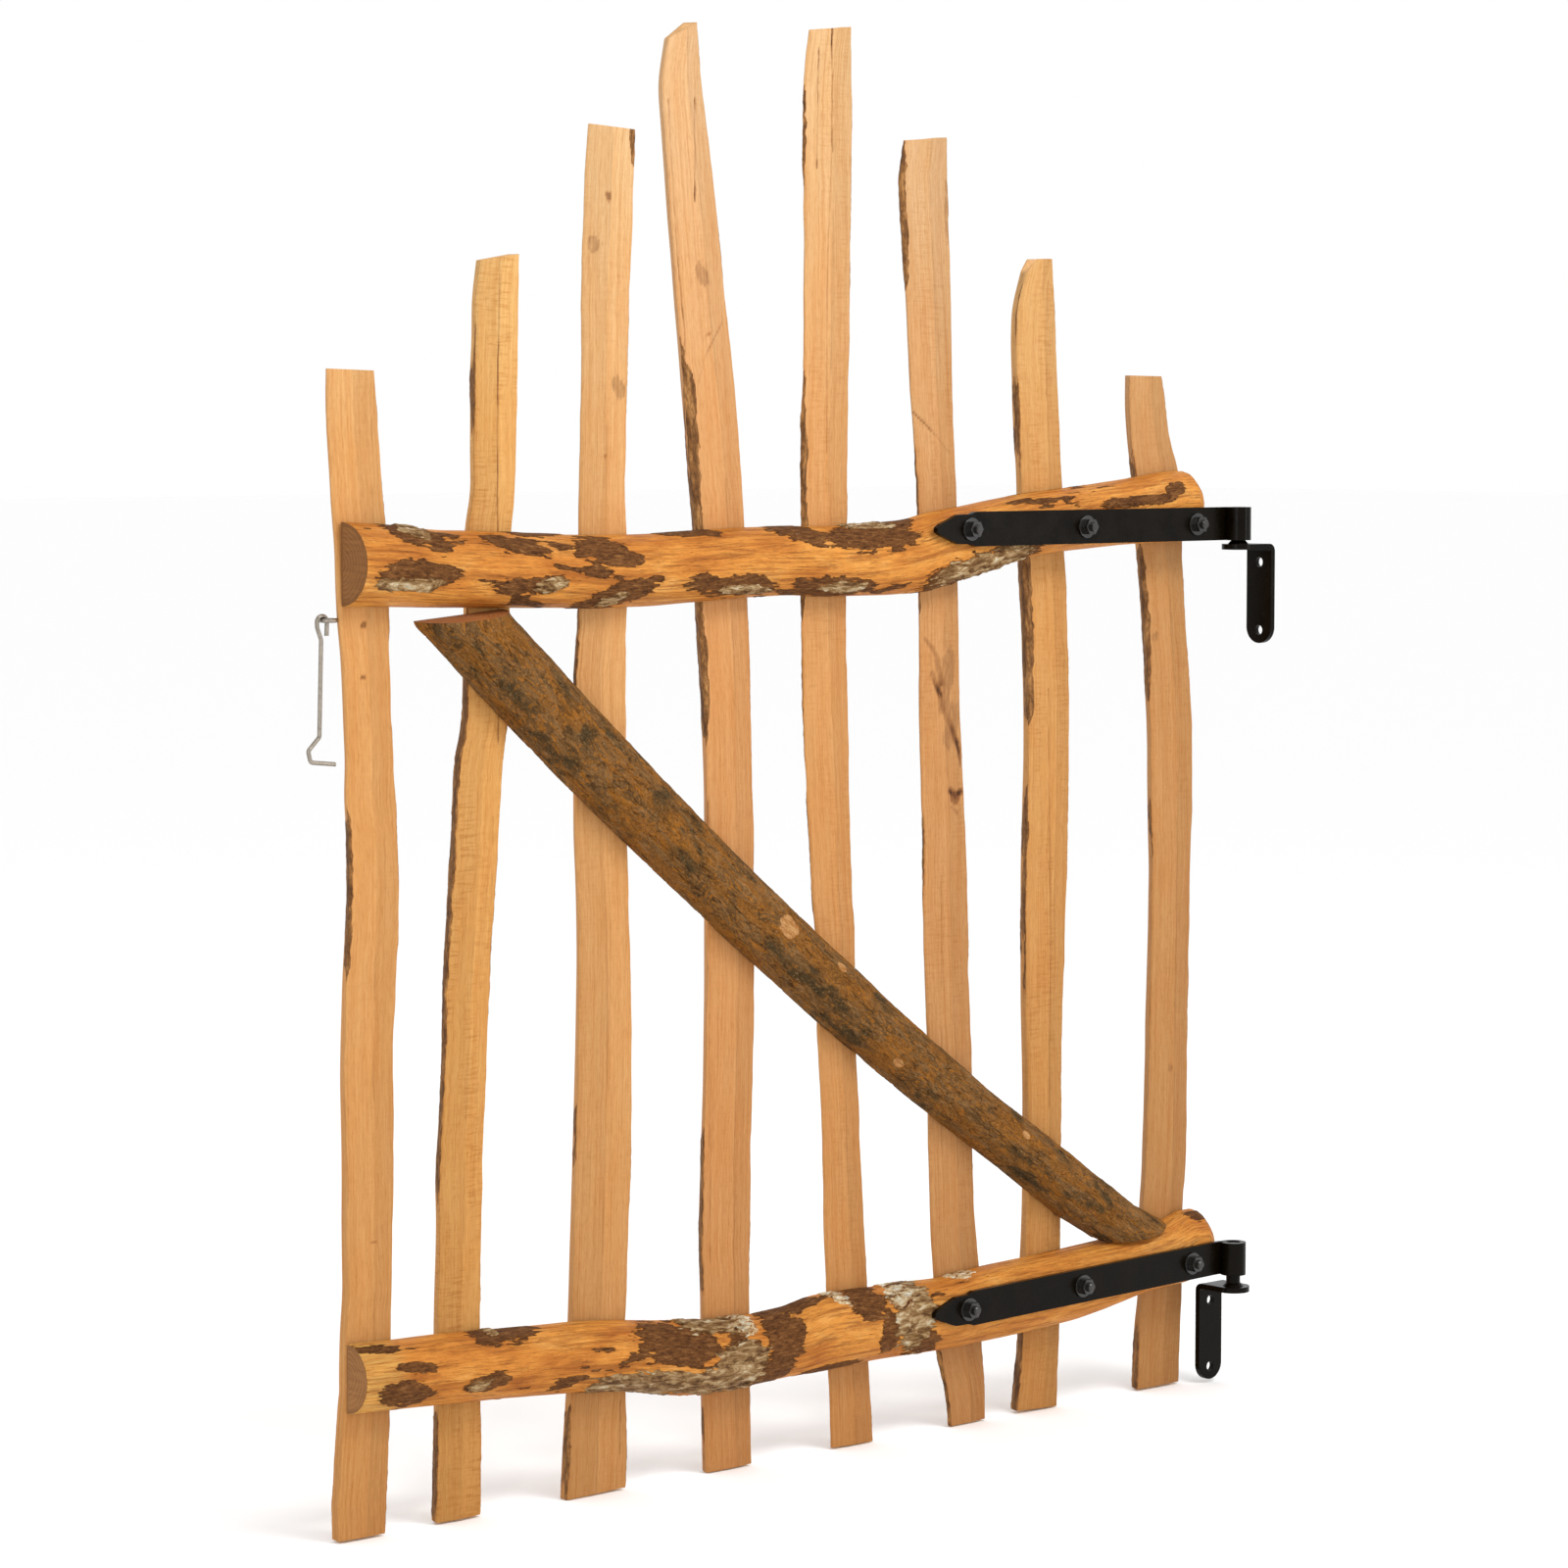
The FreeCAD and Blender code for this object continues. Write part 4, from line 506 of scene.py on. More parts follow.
# -------------------------------------------------------------------- brace
def make_brace(mats):
    S = 620
    T = np.array(BRACE, float)
    n1, n2 = ((116, 16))
    # stations run down the log; the last run tilts into the foot cut
    t = np.linspace(0, 1, S)
    z = 724 + (165 - 724) * t / 0.955
    zt = np.clip(z, 165, 721)
    xc = soft(np.interp(-zt, -T[:, 0], T[:, 1]), 7)
    rx = soft(np.interp(-zt, -T[:, 0], T[:, 2]), 7)
    dp = soft(np.interp(-zt, -T[:, 0], T[:, 3]), 7)
    a = math.pi * np.linspace(0, 1, n1)
    sn, cs = np.clip(np.sin(a), 0, 1), np.cos(a)

    def ring(xc, rx, dp):
        xx = xc + (rx - 0.6) * np.sign(cs) * np.abs(cs) ** (2 / 2.1)
        yy = -(dp - 1.0) * sn ** (2 / 2.1)
        bx = xx[-1] + (xx[0] - xx[-1]) * np.linspace(0, 1, n2 + 2)[1:-1]
        return np.concatenate([xx, bx]), np.concatenate([yy, 0 * bx])

    rows = []
    fx, fy = ring(872.0, 45.5, 26.5)
    foot = np.stack([fx, fy, 140.8 + 0.075 * (fx - 834) + 0.3 * fy], 1)
    lx, ly = ring(830.0, 48.0, 27.0)
    last = np.stack([lx, ly, 0 * lx + 165.0], 1)
    for q in range(S):
        if t[q] <= 0.955:
            rxx, ryy = ring(xc[q], rx[q], dp[q])
            rows.append(np.stack([rxx, ryy, 0 * rxx + z[q]], 1))
        else:
            w = (t[q] - 0.955) / 0.045
            rows.append(last * (1 - w) + foot * w)
    P = np.array(rows)
    N = P.shape[1]
    X, Y, Z = P[..., 0], P[..., 1], P[..., 2]
    al = X * 0.797 - Z * 0.604
    ac = X * 0.604 + Z * 0.797
    c0 = ac.mean(1, keepdims=True)
    ang = np.arctan2(ac - c0, -Y + 1e-3)
    arc = ang * 30.0
    front = (np.arange(N) < n1)[None, :] * np.ones((S, 1))
    al2 = al
    n = normals(P)
    e = 1.6 * (fbm(al2 / 45, arc / 18, 201) - 0.5) + 1.1 * (fbm(al2 / 16, arc / 6, 202) - 0.5)
    e += 0.9 * (fbm(al2 / 7, arc / 2.4, 203, 3) - 0.5)
    crack = np.abs(fbm(al2 / 26, arc / 5.5, 204, 3) - 0.5)
    e -= 0.9 * (1 - sm(crack, 0.0, 0.035))
    knots = 0 * e
    light = 0 * e
    for (xk, zk, hw, hh, an, kind) in BRACE_PATCH:
        ak, ck = xk * 0.797 - zk * 0.604, xk * 0.604 + zk * 0.797
        d1 = (al - ak)
        d2 = (ac - ck)
        r = np.sqrt((d1 / (hw * 0.95)) ** 2 + (d2 / (hh * 0.95)) ** 2) + 0.5 * (fbm(al / 4, arc / 3, 210) - 0.5)
        light = np.maximum(light, 1 - sm(r, 0.8, 1.05))
        knots += 1.4 * np.exp(-((d1 / (hw * 1.8)) ** 2 + (d2 / (hh * 2.2)) ** 2)) * (1 if hw < 10 else 0)
    e = e + knots - 0.8 * light
    flame = sm(fbm(al2 / 52 + 0.8 * fbm(al2 / 20, arc / 8, 221), arc / 9, 220, 3), 0.50, 0.60)
    dark = sm(fbm(al2 / 34, arc / 16, 222, 3), 0.56, 0.68)
    e = np.clip(e, -2.2, 1.55) * front
    endz = sm(np.arange(S) / 6.0, 0, 1)[:, None]
    P = P + n * (e * endz)[..., None]
    P[..., 1] = np.minimum(P[..., 1], -0.02)
    # the top is cut on a slant: lower in front and towards its left tip
    fade = np.clip(1 - (724 - P[..., 2]) / 64.0, 0, 1)
    P[..., 2] += fade * (0.12 * P[..., 1] + 0.08 * (P[..., 0] - 58) - 4.6)
    gx = np.where(front > 0, arc, (ac - c0) * 47.1 / (np.abs(ac - c0).max(1, keepdims=True) + 1e-6))
    gc = np.stack([gx, Y, al], 2)
    mk = np.stack([flame * front, dark * front, light * front, crack], 2)
    ob = skin("brace_log", P, gc, mk, (0.42, 0.34, 0.22, 1.0), mats, rings=7, node="diagonal_brace", back=n1)
    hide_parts("diagonal_brace")
    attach(ob, "gate_leaf")
    return ob


# ---------------------------------------------------------------- materials
class Mat:
    def __init__(self, name, rough=0.6, spec=0.3, metal=0.0):
        self.m = bpy.data.materials.new(name)
        self.m.use_nodes = True
        self.t = self.m.node_tree
        self.t.nodes.clear()
        self.out = self.t.nodes.new("ShaderNodeOutputMaterial")
        self.b = self.t.nodes.new("ShaderNodeBsdfPrincipled")
        self.b.inputs["Roughness"].default_value = rough
        self.b.inputs["Specular IOR Level"].default_value = spec
        self.b.inputs["Metallic"].default_value = metal
        self.t.links.new(self.b.outputs[0], self.out.inputs[0])

    def put(self, sock, v):
        if isinstance(v, (int, float)):
            if getattr(sock, "type", "") == "RGBA":
                sock.default_value = (v, v, v, 1)
            else:
                sock.default_value = v
        elif isinstance(v, tuple):
            sock.default_value = v if len(v) == len(sock.default_value) else tuple(v) + (1.0,)
        else:
            self.t.links.new(v, sock)

    def attr(self, name, out="Vector"):
        n = self.t.nodes.new("ShaderNodeAttribute")
        n.attribute_name = name
        return n.outputs[out]

    def sep(self, v):
        n = self.t.nodes.new("ShaderNodeSeparateXYZ")
        self.put(n.inputs[0], v)
        return n.outputs

    def scale(self, v, s, off=(0, 0, 0)):
        n = self.t.nodes.new("ShaderNodeMapping")
        self.put(n.inputs["Vector"], v)
        n.inputs["Scale"].default_value = s
        n.inputs["Location"].default_value = off
        return n.outputs[0]

    def noise(self, v, detail=4.0, rough=0.55, dist=0.0, scale=1.0, color=False):
        n = self.t.nodes.new("ShaderNodeTexNoise")
        self.put(n.inputs["Vector"], v)
        n.inputs["Scale"].default_value = scale
        n.inputs["Detail"].default_value = detail
        n.inputs["Roughness"].default_value = rough
        n.inputs["Distortion"].default_value = dist
        return n.outputs["Color" if color else "Fac"]

    def vor(self, v, feature="F1", scale=1.0, rand=1.0):
        n = self.t.nodes.new("ShaderNodeTexVoronoi")
        n.feature = feature
        self.put(n.inputs["Vector"], v)
        n.inputs["Scale"].default_value = scale
        n.inputs["Randomness"].default_value = rand
        return n.outputs["Distance"]

    def ramp(self, v, stops):
        n = self.t.nodes.new("ShaderNodeValToRGB")
        self.put(n.inputs[0], v)
        r = n.color_ramp
        while len(r.elements) < len(stops):
            r.elements.new(0.5)
        for e, (p, c) in zip(r.elements, stops):
            e.position = p
            e.color = tuple(c) + (1.0,) if not isinstance(c, (int, float)) else (c, c, c, 1.0)
        return n.outputs[0]

    def mr(self, v, a, b, c=0.0, d=1.0):
        n = self.t.nodes.new("ShaderNodeMapRange")
        self.put(n.inputs[0], v)
        for k, q in zip((1, 2, 3, 4), (a, b, c, d)):
            n.inputs[k].default_value = q
        return n.outputs[0]

    def math(self, op, a, b=None, c=None):
        n = self.t.nodes.new("ShaderNodeMath")
        n.operation = op
        self.put(n.inputs[0], a)
        if b is not None:
            self.put(n.inputs[1], b)
        if c is not None:
            self.put(n.inputs[2], c)
        return n.outputs[0]

    def mix(self, f, a, b, mode="MIX"):
        n = self.t.nodes.new("ShaderNodeMix")
        n.data_type = "RGBA"
        n.blend_type = mode
        self.put(n.inputs[0], f)
        self.put(n.inputs[6], a)
        self.put(n.inputs[7], b)
        return n.outputs[2]

    def bump(self, h, strength=0.5, dist=0.001, normal=None):
        n = self.t.nodes.new("ShaderNodeBump")
        n.inputs["Strength"].default_value = strength
        n.inputs["Distance"].default_value = dist
        self.put(n.inputs["Height"], h)
        if normal is not None:
            self.put(n.inputs["Normal"], normal)
        return n.outputs[0]

    def color(self, v):
        self.put(self.b.inputs["Base Color"], v)

    def rough(self, v):
        self.put(self.b.inputs["Roughness"], v)

    def normal(self, v):
        self.put(self.b.inputs["Normal"], v)


def lin(r, g, b):
    """sRGB 0-255 to linear"""
    f = lambda c: c / 12.92 if c <= 0.04045 else ((c + 0.055) / 1.055) ** 2.4
    return tuple(f(c / 255.0) for c in (r, g, b))


K = 0.68  # the lamps and the pale surroundings together light a surface brighter than its own colour


def shade(c, k=K):
    return tuple(q * k for q in c)


def bark_colour(M, gc, f=1.0):
    big = M.noise(M.scale(gc, (170, 110, 34)), 7, 0.7, 0.4)
    fine = M.noise(M.scale(gc, (480, 480, 180)), 6, 0.7)
    c = M.ramp(big, [(0.34, shade(lin(78, 48, 22), f)), (0.48, shade(lin(124, 82, 42), f)), (0.64, shade(lin(176, 126, 72), f))])
    return M.mix(M.mr(fine, 0.42, 0.62, 0.0, 0.60), c, shade(lin(56, 34, 16), f))


def split_board():
    M = Mat("split_board", 0.66, 0.14)
    gc = M.attr("gc")
    mk = M.sep(M.attr("mk"))
    tint = M.attr("tint", "Color")
    saw = M.attr("tint", "Alpha")
    fib = M.noise(M.scale(gc, (520, 300, 10)), 8, 0.72, 0.2)
    short = M.noise(M.scale(gc, (620, 500, 90), (2, 8, 5)), 6, 0.72, 0.3)
    streak = M.noise(M.scale(gc, (230, 90, 3.4), (3, 1, 7)), 5, 0.6, 0.3)
    blot = M.noise(M.scale(gc, (40, 20, 13), (9, 2, 4)), 4, 0.55)
    c = M.mix(M.mr(fib, 0.46, 0.66, 0.0, 0.50), tint, M.mix(1.0, tint, (0.76, 0.64, 0.48), "MULTIPLY"))
    c = M.mix(M.mr(fib, 0.32, 0.46, 0.55, 0.0), c, M.mix(1.0, c, (1.12, 1.17, 1.22), "MULTIPLY"))
    c = M.mix(M.mr(short, 0.50, 0.68, 0.0, 0.60), c, M.mix(1.0, c, (0.76, 0.66, 0.54), "MULTIPLY"))
    c = M.mix(M.mr(short, 0.30, 0.46, 0.60, 0.0), c, M.mix(1.0, c, (1.13, 1.18, 1.24), "MULTIPLY"))
    c = M.mix(M.mr(streak, 0.46, 0.66, 0.0, 0.42), c, M.mix(1.0, c, (0.88, 0.74, 0.56), "MULTIPLY"))
    c = M.mix(M.mr(blot, 0.40, 0.68, 0.0, 0.55), c, M.mix(1.0, c, (0.98, 0.86, 0.70), "MULTIPLY"))
    # darker growth lines that run the length of the board
    line = M.noise(M.scale(gc, (240, 40, 1.1), (1, 5, 2)), 3, 0.45)
    c = M.mix(M.mr(M.math("ABSOLUTE", M.math("SUBTRACT", line, 0.5)), 0.0, 0.010, 0.40, 0.0), c, M.mix(1.0, c, (0.66, 0.50, 0.34), "MULTIPLY"))
    # slanting saw marks
    mp = M.t.nodes.new("ShaderNodeMapping")
    M.put(mp.inputs["Vector"], gc)
    mp.inputs["Rotation"].default_value = (0, math.radians(38), 0)
    mp.inputs["Scale"].default_value = (50, 100, 420)
    sawn = M.noise(mp.outputs[0], 3, 0.55, 0.2)
    sawm = M.math("MULTIPLY", saw, M.mr(M.noise(M.scale(gc, (60, 30, 7), (5, 5, 1)), 2), 0.42, 0.58))
    c = M.mix(M.math("MULTIPLY", sawm, M.mr(sawn, 0.48, 0.62, 0.0, 0.62)), c, M.mix(1.0, c, (0.74, 0.60, 0.42), "MULTIPLY"))
    # short dark flecks and pale dust
    fleck = M.noise(M.scale(gc, (1500, 800, 200)), 2, 0.5)
    c = M.mix(M.mr(fleck, 0.68, 0.74, 0.0, 0.45), c, M.mix(1.0, c, (0.50, 0.38, 0.28), "MULTIPLY"))
    dust = M.noise(M.scale(gc, (1700, 900, 900), (7, 7, 7)), 2, 0.5)
    c = M.mix(M.mr(dust, 0.70, 0.76, 0.0, 0.40), c, (0.78, 0.62, 0.42))
    # stains (the stain mask also carries painted shade on the left side faces), knots and cracks
    sn = M.noise(M.scale(gc, (420, 200, 90)), 4, 0.6)
    c = M.mix(M.mr(M.math("ADD", mk[1], M.mr(sn, 0.3, 0.7, -0.55, 0.45)), 0.30, 1.10, 0.0, 0.50), c, shade(lin(138, 90, 52)))
    c = M.mix(M.mr(mk[2], 0.10, 0.8, 0.0, 0.50), c, shade(lin(166, 100, 48)))
    c = M.mix(M.mr(mk[2], 0.90, 1.0, 0.0, 0.45), c, shade(lin(92, 52, 26)))
    # cracks: a brown halo and a dark core, partly the darker wood of the split, partly painted shade in and beside the
    # groove
    cr = M.attr("mk", "Alpha")
    crn = M.math("MULTIPLY", cr, M.mr(M.noise(M.scale(gc, (500, 200, 120), (1, 1, 6)), 4), 0.30, 0.55, 0.55, 1.0))
    c = M.mix(M.mr(crn, 0.10, 0.6, 0.0, 0.75), c, shade(lin(138, 84, 42)))
    c = M.mix(M.mr(crn, 0.62, 0.95, 0.0, 0.9), c, shade(lin(70, 40, 22)))
    bark = bark_colour(M, gc)
    edge = M.math("ADD", mk[0], M.mr(M.noise(M.scale(gc, (700, 400, 160)), 3), 0.3, 0.7, -0.18, 0.18))
    bm = M.mr(edge, 0.42, 0.58)
    c = M.mix(M.mr(edge, 0.15, 0.5, 0.0, 0.7), c, shade(lin(172, 104, 44)))
    c = M.mix(bm, c, bark)
    M.color(c)
    M.rough(M.mr(fib, 0.3, 0.7, 0.56, 0.74))
    h = M.math("ADD", M.math("ADD", M.math("MULTIPLY", fib, 0.5), M.math("MULTIPLY", short, 0.35)), M.math("MULTIPLY", M.math("MULTIPLY", M.noise(M.scale(gc, (1000, 1000, 500)), 5), bm), 1.6))
    h = M.math("ADD", h, M.math("MULTIPLY", M.math("MULTIPLY", sawn, sawm), 0.5))
    M.normal(M.bump(h, 0.65, 0.0014))
    return M.m


def end_grain(name, dark, light, center):
    M = Mat(name, 0.8, 0.15)
    gc = M.attr("gc")
    s = M.sep(gc)
    dy = M.math("SUBTRACT", s[1], center[0])
    dz = M.math("SUBTRACT", s[2], center[1])
    if len(center) > 2:
        dz = M.math("SUBTRACT", s[0], center[2])
    wob = M.noise(M.scale(gc, (70, 70, 70)), 3)
    r = M.math("ADD", M.math("SQRT", M.math("ADD", M.math("MULTIPLY", dy, dy), M.math("MULTIPLY", dz, dz))), M.math("MULTIPLY", wob, 0.006))
    ring = M.math("SINE", M.math("MULTIPLY", r, 1750.0))
    fine = M.noise(M.scale(gc, (1800, 1800, 1800)), 4, 0.65)
    ray = M.noise(M.scale(gc, (30, 30, 420)), 3)
    c = M.mix(M.mr(ring, -1, 1, 0.15, 0.6), dark, light)
    c = M.mix(M.mr(fine, 0.38, 0.70, 0.0, 0.5), c, tuple(q * 0.5 for q in dark))
    c = M.mix(M.mr(ray, 0.4, 0.7, 0.0, 0.4), c, light)
    M.color(c)
    M.normal(M.bump(M.math("ADD", fine, M.math("MULTIPLY", ring, 0.15)), 0.6, 0.0009))
    return M.m


def peeled_log():
    M = Mat("peeled_log", 0.55, 0.12)
    gc = M.attr("gc")
    mk = M.sep(M.attr("mk"))
    fib = M.noise(M.scale(gc, (480, 300, 26)), 8, 0.74, 0.3)
    short = M.noise(M.scale(gc, (620, 500, 110), (5, 2, 5)), 6, 0.70, 0.3)
    streak = M.noise(M.scale(gc, (190, 60, 11), (4, 1, 3)), 6, 0.65, 0.7)
    blot = M.noise(M.scale(gc, (48, 20, 16), (2, 8, 1)), 5, 0.6, 0.5)
    c = M.ramp(blot, [(0.28, shade(lin(192, 112, 40), 0.74)), (0.44, shade(lin(220, 140, 56), 0.76)), (0.58, shade(lin(232, 156, 68), 0.77)), (0.75, shade(lin(244, 182, 100), 0.79))])
    c = M.mix(M.mr(streak, 0.48, 0.64, 0.0, 0.70), c, shade(lin(170, 94, 30)))
    c = M.mix(M.mr(fib, 0.52, 0.66, 0.0, 0.75), c, shade(lin(128, 70, 24)))
    c = M.mix(M.mr(fib, 0.20, 0.40, 0.50, 0.0), c, shade(lin(246, 192, 104)))
    c = M.mix(M.mr(short, 0.50, 0.68, 0.0, 0.60), c, M.mix(1.0, c, (0.60, 0.48, 0.34), "MULTIPLY"))
    c = M.mix(M.mr(short, 0.30, 0.44, 0.55, 0.0), c, M.mix(1.0, c, (1.16, 1.22, 1.30), "MULTIPLY"))
    # hair cracks along the log
    hc = M.noise(M.scale(gc, (420, 100, 13), (7, 7, 7)), 4, 0.55, 0.3)
    c = M.mix(M.mr(M.math("ABSOLUTE", M.math("SUBTRACT", hc, 0.5)), 0.0, 0.007, 0.85, 0.0), c, shade(lin(70, 38, 14)))
    # pale ridged fibres beside the sawn end
    c = M.mix(M.math("MULTIPLY", M.attr("mk", "Alpha"), M.mr(fib, 0.35, 0.6, 0.75, 0.1)), c, shade(lin(244, 200, 112)))
    # patches of inner bark
    e = M.noise(M.scale(gc, (700, 300, 110)), 7, 0.72)
    dm = M.math("ADD", mk[0], M.mr(e, 0.3, 0.7, -0.58, 0.46))
    dcol = M.noise(M.scale(gc, (420, 200, 110), (5, 5, 5)), 8, 0.76, 0.3)
    dc = M.ramp(dcol, [(0.32, shade(lin(62, 34, 14))), (0.45, shade(lin(112, 68, 32))), (0.57, shade(lin(146, 94, 48))), (0.70, shade(lin(196, 142, 86)))])
    c = M.mix(M.mr(dm, 0.25, 0.48, 0.0, 0.70), c, shade(lin(146, 80, 26)))
    c = M.mix(M.mr(dm, 0.46, 0.56), c, dc)
    rim = M.math("MULTIPLY", M.mr(dm, 0.46, 0.54), M.mr(dm, 0.54, 0.70, 1.0, 0.0))
    c = M.mix(M.math("MULTIPLY", rim, 0.65), c, shade(lin(40, 20, 9)))
    # outer bark with lichen
    lm = M.math("ADD", mk[1], M.mr(M.noise(M.scale(gc, (520, 300, 200), (1, 9, 1)), 4), 0.3, 0.7, -0.30, 0.30))
    ln = M.noise(M.scale(gc, (190, 190, 62), (3, 3, 9)), 8, 0.70, 0.6)
    lc = M.ramp(ln, [(0.32, shade(lin(60, 34, 16))), (0.42, shade(lin(122, 84, 46))), (0.50, shade(lin(170, 130, 82))), (0.58, shade(lin(218, 184, 134))), (0.66, shade(lin(252, 238, 206)))])
    c = M.mix(M.mr(lm, 0.30, 0.50, 0.0, 0.6), c, shade(lin(66, 40, 20)))
    c = M.mix(M.mr(lm, 0.44, 0.54), c, lc)
    # bare pale scabs
    wm = M.math("ADD", mk[2], M.mr(M.noise(M.scale(gc, (600, 300, 380), (2, 1, 4)), 4), 0.3, 0.7, -0.36, 0.36))
    wn = M.noise(M.scale(gc, (170, 190, 110), (6, 3, 2)), 8, 0.68, 0.6)
    wc = M.ramp(wn, [(0.36, shade(lin(74, 36, 14))), (0.44, shade(lin(170, 116, 66))), (0.52, shade(lin(228, 200, 152))), (0.62, shade(lin(252, 244, 222)))])
    c = M.mix(M.mr(wm, 0.34, 0.46), c, wc)
    M.color(c)
    M.rough(M.mr(dm, 0.4, 0.6, 0.48, 0.76))
    h = M.math("ADD", M.math("MULTIPLY", fib, 0.9), M.math("MULTIPLY", M.math("MULTIPLY", M.noise(M.scale(gc, (900, 900, 500)), 6), M.mr(M.math("MAXIMUM", lm, dm), 0.4, 0.6)), 2.2))
    h = M.math("ADD", h, M.math("MULTIPLY", M.mr(dm, 0.46, 0.56), 0.8))
    h = M.math("ADD", h, M.math("MULTIPLY", streak, 0.6))
    M.normal(M.bump(h, 0.85, 0.0016))
    return M.m


def bark_log():
    M = Mat("bark_log", 0.85, 0.08)
    gc = M.attr("gc")
    mk = M.sep(M.attr("mk"))
    fib = M.noise(M.scale(gc, (420, 200, 110)), 8, 0.76, 0.7)
    speck = M.noise(M.scale(gc, (560, 500, 420), (4, 4, 4)), 6, 0.74)
    blot = M.noise(M.scale(gc, (120, 40, 40), (2, 2, 8)), 7, 0.70, 0.8)
    c = M.ramp(blot, [(0.32, shade(lin(92, 66, 36))), (0.44, shade(lin(126, 90, 50))), (0.56, shade(lin(150, 108, 64))), (0.70, shade(lin(176, 134, 86)))])
    # orange-brown flames where the outer skin has worn through, with contour bands
    fm_ = M.noise(M.scale(gc, (85, 40, 24), (8, 1, 1)), 3, 0.5, 0.9)
    fl = M.math("ADD", M.math("MULTIPLY", mk[0], 0.9), M.mr(fm_, 0.3, 0.7, -0.45, 0.75))
    fc = M.ramp(fib, [(0.32, shade(lin(116, 68, 22))), (0.50, shade(lin(160, 100, 36))), (0.68, shade(lin(196, 134, 54)))])
    c = M.mix(M.mr(fl, 0.36, 0.70, 0.0, 0.66), c, fc)
    band = M.math("FRACT", M.math("MULTIPLY", fm_, 9.0))
    bl = M.mr(M.math("ABSOLUTE", M.math("SUBTRACT", band, 0.5)), 0.03, 0.20, 1.0, 0.0)
    c = M.mix(M.math("MULTIPLY", bl, M.mr(fib, 0.38, 0.62, 0.95, 0.25)), c, shade(lin(196, 122, 36)))
    bd = M.mr(M.math("ABSOLUTE", M.math("SUBTRACT", band, 0.80)), 0.0, 0.12, 1.0, 0.0)
    c = M.mix(M.math("MULTIPLY", bd, M.mr(fib, 0.4, 0.65, 0.2, 0.7)), c, shade(lin(80, 48, 20)))
    # green-black film and pale specks
    film = M.noise(M.scale(gc, (70, 30, 30), (6, 2, 1)), 5, 0.65)
    c = M.mix(M.math("MULTIPLY", mk[1], M.mr(film, 0.40, 0.56, 0.0, 0.80)), c, M.mix(M.mr(fib, 0.35, 0.65), shade(lin(78, 70, 46)), shade(lin(46, 40, 26))))
    c = M.mix(M.mr(speck, 0.56, 0.66, 0.0, 0.60), c, shade(lin(196, 158, 108)))
    c = M.mix(M.mr(speck, 0.34, 0.45, 0.70, 0.0), c, shade(lin(50, 32, 14)))
    c = M.mix(M.mr(fib, 0.56, 0.70, 0.0, 0.60), c, shade(lin(62, 38, 16)))
    cr = M.attr("mk", "Alpha")
    c = M.mix(M.mr(cr, 0.0, 0.03, 0.6, 0.0), c, shade(lin(48, 30, 16)))
    c = M.mix(M.mr(M.math("ADD", mk[2], M.mr(fib, 0.3, 0.7, -0.3, 0.3)), 0.40, 0.58), c, M.mix(M.mr(fib, 0.4, 0.6), shade(lin(232, 178, 116)), shade(lin(186, 118, 60))))
    M.color(c)
    h = M.math("ADD", M.math("MULTIPLY", fib, 1.3), M.math("MULTIPLY", speck, 0.7))
    M.normal(M.bump(h, 0.9, 0.0020))
    return M.m


def iron(name, base, rough, spec, metal=0.0, coat=0.0):
    M = Mat(name, rough, spec, metal)
    tc = M.t.nodes.new("ShaderNodeTexCoord").outputs["Object"]
    n = M.noise(M.scale(tc, (700, 700, 700)), 4, 0.6)
    big = M.noise(M.scale(tc, (45, 45, 45)), 4, 0.6)
    M.color(M.mix(M.mr(big, 0.35, 0.65), tuple(q * 0.8 for q in base), tuple(q * 1.35 for q in base)))
    M.rough(M.math("ADD", M.mr(n, 0.3, 0.7, rough - 0.05, rough + 0.06), M.mr(big, 0.3, 0.7, -0.05, 0.05)))
    bev = M.t.nodes.new("ShaderNodeBevel")
    bev.samples = 4
    bev.inputs["Radius"].default_value = 0.0007
    M.normal(M.bump(n, 0.22, 0.0003, bev.outputs[0]))
    if coat:
        M.b.inputs["Coat Weight"].default_value = coat
        M.b.inputs["Coat Roughness"].default_value = 0.2
    return M.m


def zinc(name, base, rough):
    M = Mat(name, rough, 0.5, 1.0)
    tc = M.t.nodes.new("ShaderNodeTexCoord").outputs["Object"]
    big = M.noise(M.scale(tc, (260, 260, 260)), 4, 0.6)
    n = M.noise(M.scale(tc, (1500, 1500, 500)), 3, 0.6)
    M.color(M.mix(M.mr(big, 0.35, 0.65), tuple(q * 0.72 for q in base), base))
    M.rough(M.mr(big, 0.3, 0.7, rough - 0.06, rough + 0.12))
    M.normal(M.bump(n, 0.25, 0.0003))
    return M.m


board = split_board()
board_end = end_grain("board_end", shade(lin(226, 168, 108), 0.8), shade(lin(248, 200, 142), 0.85), (0.03, -2.0, 0.02))
log = peeled_log()
rail_end_top = end_grain("rail_end_top", shade(lin(140, 90, 48)), shade(lin(186, 128, 74)), (0.002, 0.766))
rail_end_low = end_grain("rail_end_low", shade(lin(154, 102, 58)), shade(lin(200, 142, 86)), (0.002, 0.122))
bark = bark_log()
brace_end = end_grain("brace_end", shade(lin(176, 104, 50)), shade(lin(226, 152, 88)), (0.0, -5.0, 0.103))
black_iron = iron("black_iron", (0.0030, 0.0018, 0.0006), 0.24, 0.080)
black_fix = iron("black_fixings", (0.009, 0.008, 0.007), 0.20, 0.60)
nail_steel = zinc("plain_nails", (0.36, 0.35, 0.33), 0.42)
zinc_wire = zinc("zinc_wire", (0.34, 0.30, 0.25), 0.30)

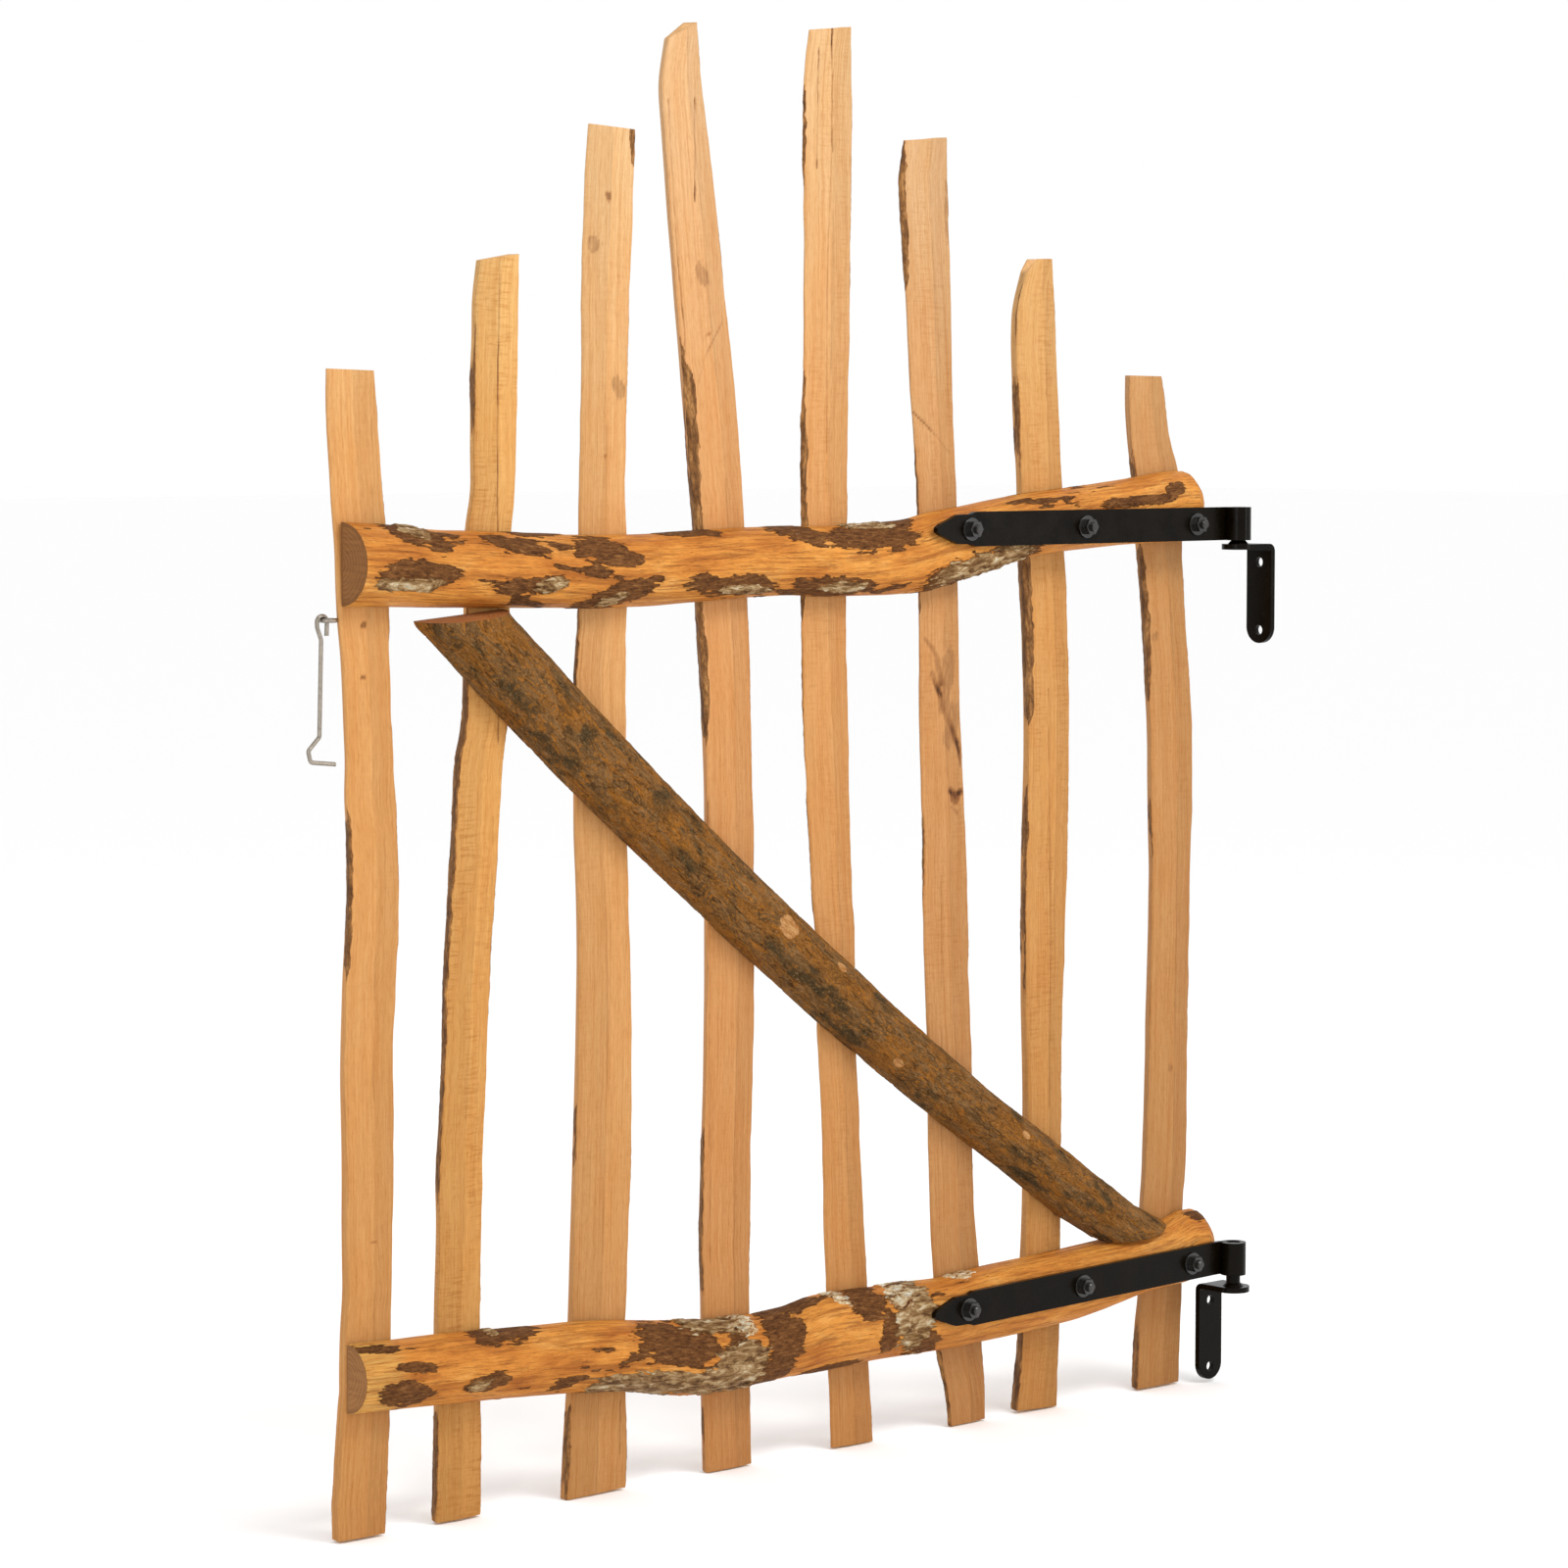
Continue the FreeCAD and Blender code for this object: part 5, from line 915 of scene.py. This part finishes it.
for i in range(1, 9):
    make_picket(i, [board, board_end])
make_rail("top_rail_log", "top_rail", TOP_RAIL, TOP_PATCH, 301, [log, rail_end_top])
make_rail("bottom_rail_log", "bottom_rail", LOW_RAIL, LOW_PATCH, 401, [log, rail_end_low], ridged_end=True)
make_brace([bark, brace_end, log])

SHOWN = {"upper_strap": black_iron, "lower_strap": black_iron, "upper_pin_plate": black_iron, "lower_pin_plate": black_iron,
         "upper_hinge_pin": black_iron, "lower_hinge_pin": black_iron,
         "upper_strap_bolts": black_fix, "lower_strap_bolts": black_fix, "upper_strap_washers": black_fix,
         "lower_strap_washers": black_fix, "upper_strap_nuts": black_fix, "lower_strap_nuts": black_fix,
         "top_rail_nails": nail_steel, "bottom_rail_nails": nail_steel, "brace_nails": nail_steel,
         "screw_eye": zinc_wire, "latch_hook": zinc_wire}
for n, mt in SHOWN.items():
    me = NODE[n].data
    if len(me.materials) == 0:
        me.materials.append(mt)
    for k in range(len(me.materials)):
        me.materials[k] = mt

# ------------------------------------------------------------ stage and light
lo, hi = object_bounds()
fm = Mat("floor", 0.9, 0.05)
fm.color((0.985, 0.985, 0.985))
me = bpy.data.meshes.new("floor")
z = lo.z - 0.0005
me.from_pydata([(-40, -40, z), (40, -40, z), (40, 40, z), (-40, 40, z)], [], [(0, 1, 2, 3)])
me.materials.append(fm.m)
floor = bpy.data.objects.new("floor", me)
bpy.context.scene.collection.objects.link(floor)

world = bpy.data.worlds.new("studio")
bpy.context.scene.world = world
world.use_nodes = True
world.node_tree.nodes["Background"].inputs[0].default_value = (1, 1, 1, 1)
world.node_tree.nodes["Background"].inputs[1].default_value = 1.0


def lamp(name, loc, target, size, power):
    d = bpy.data.lights.new(name, "AREA")
    d.shape = "RECTANGLE"
    d.size, d.size_y = size
    d.energy = power
    o = bpy.data.objects.new(name, d)
    o.location = loc
    o.rotation_mode = "QUATERNION"
    o.rotation_quaternion = (Vector(target) - Vector(loc)).to_track_quat("-Z", "Y")
    bpy.context.scene.collection.objects.link(o)
    return o


lamp("key", (0.25, -1.5, 2.15), (0.0, 0, 1.0), (1.1, 0.7), 26)
lamp("fill", (-2.4, -1.5, 1.0), (0, 0, 0.7), (0.25, 1.2), 9)
lamp("strip", (2.1, -2.9, 0.9), (0.3, 0, 0.6), (0.16, 1.3), 13)

cam = bpy.data.cameras.new("camera")
cam.lens = 112.5
cam.sensor_width = 36.0
cam.clip_end = 200
co = bpy.data.objects.new("camera", cam)
loc = Vector(((-2316.5 + OFF[0]) / 1000, (-3076.0 + OFF[1]) / 1000, (884.0 + OFF[2]) / 1000))
th, pit = math.radians(42.0), math.atan2(379.0, 5000.0)
fwd = Vector((math.sin(th) * math.cos(pit), math.cos(th) * math.cos(pit), -math.sin(pit)))
co.location = loc
co.rotation_mode = "QUATERNION"
co.rotation_quaternion = fwd.to_track_quat("-Z", "Y")
bpy.context.scene.collection.objects.link(co)
bpy.context.scene.camera = co
bpy.context.scene.view_settings.view_transform = "Standard"
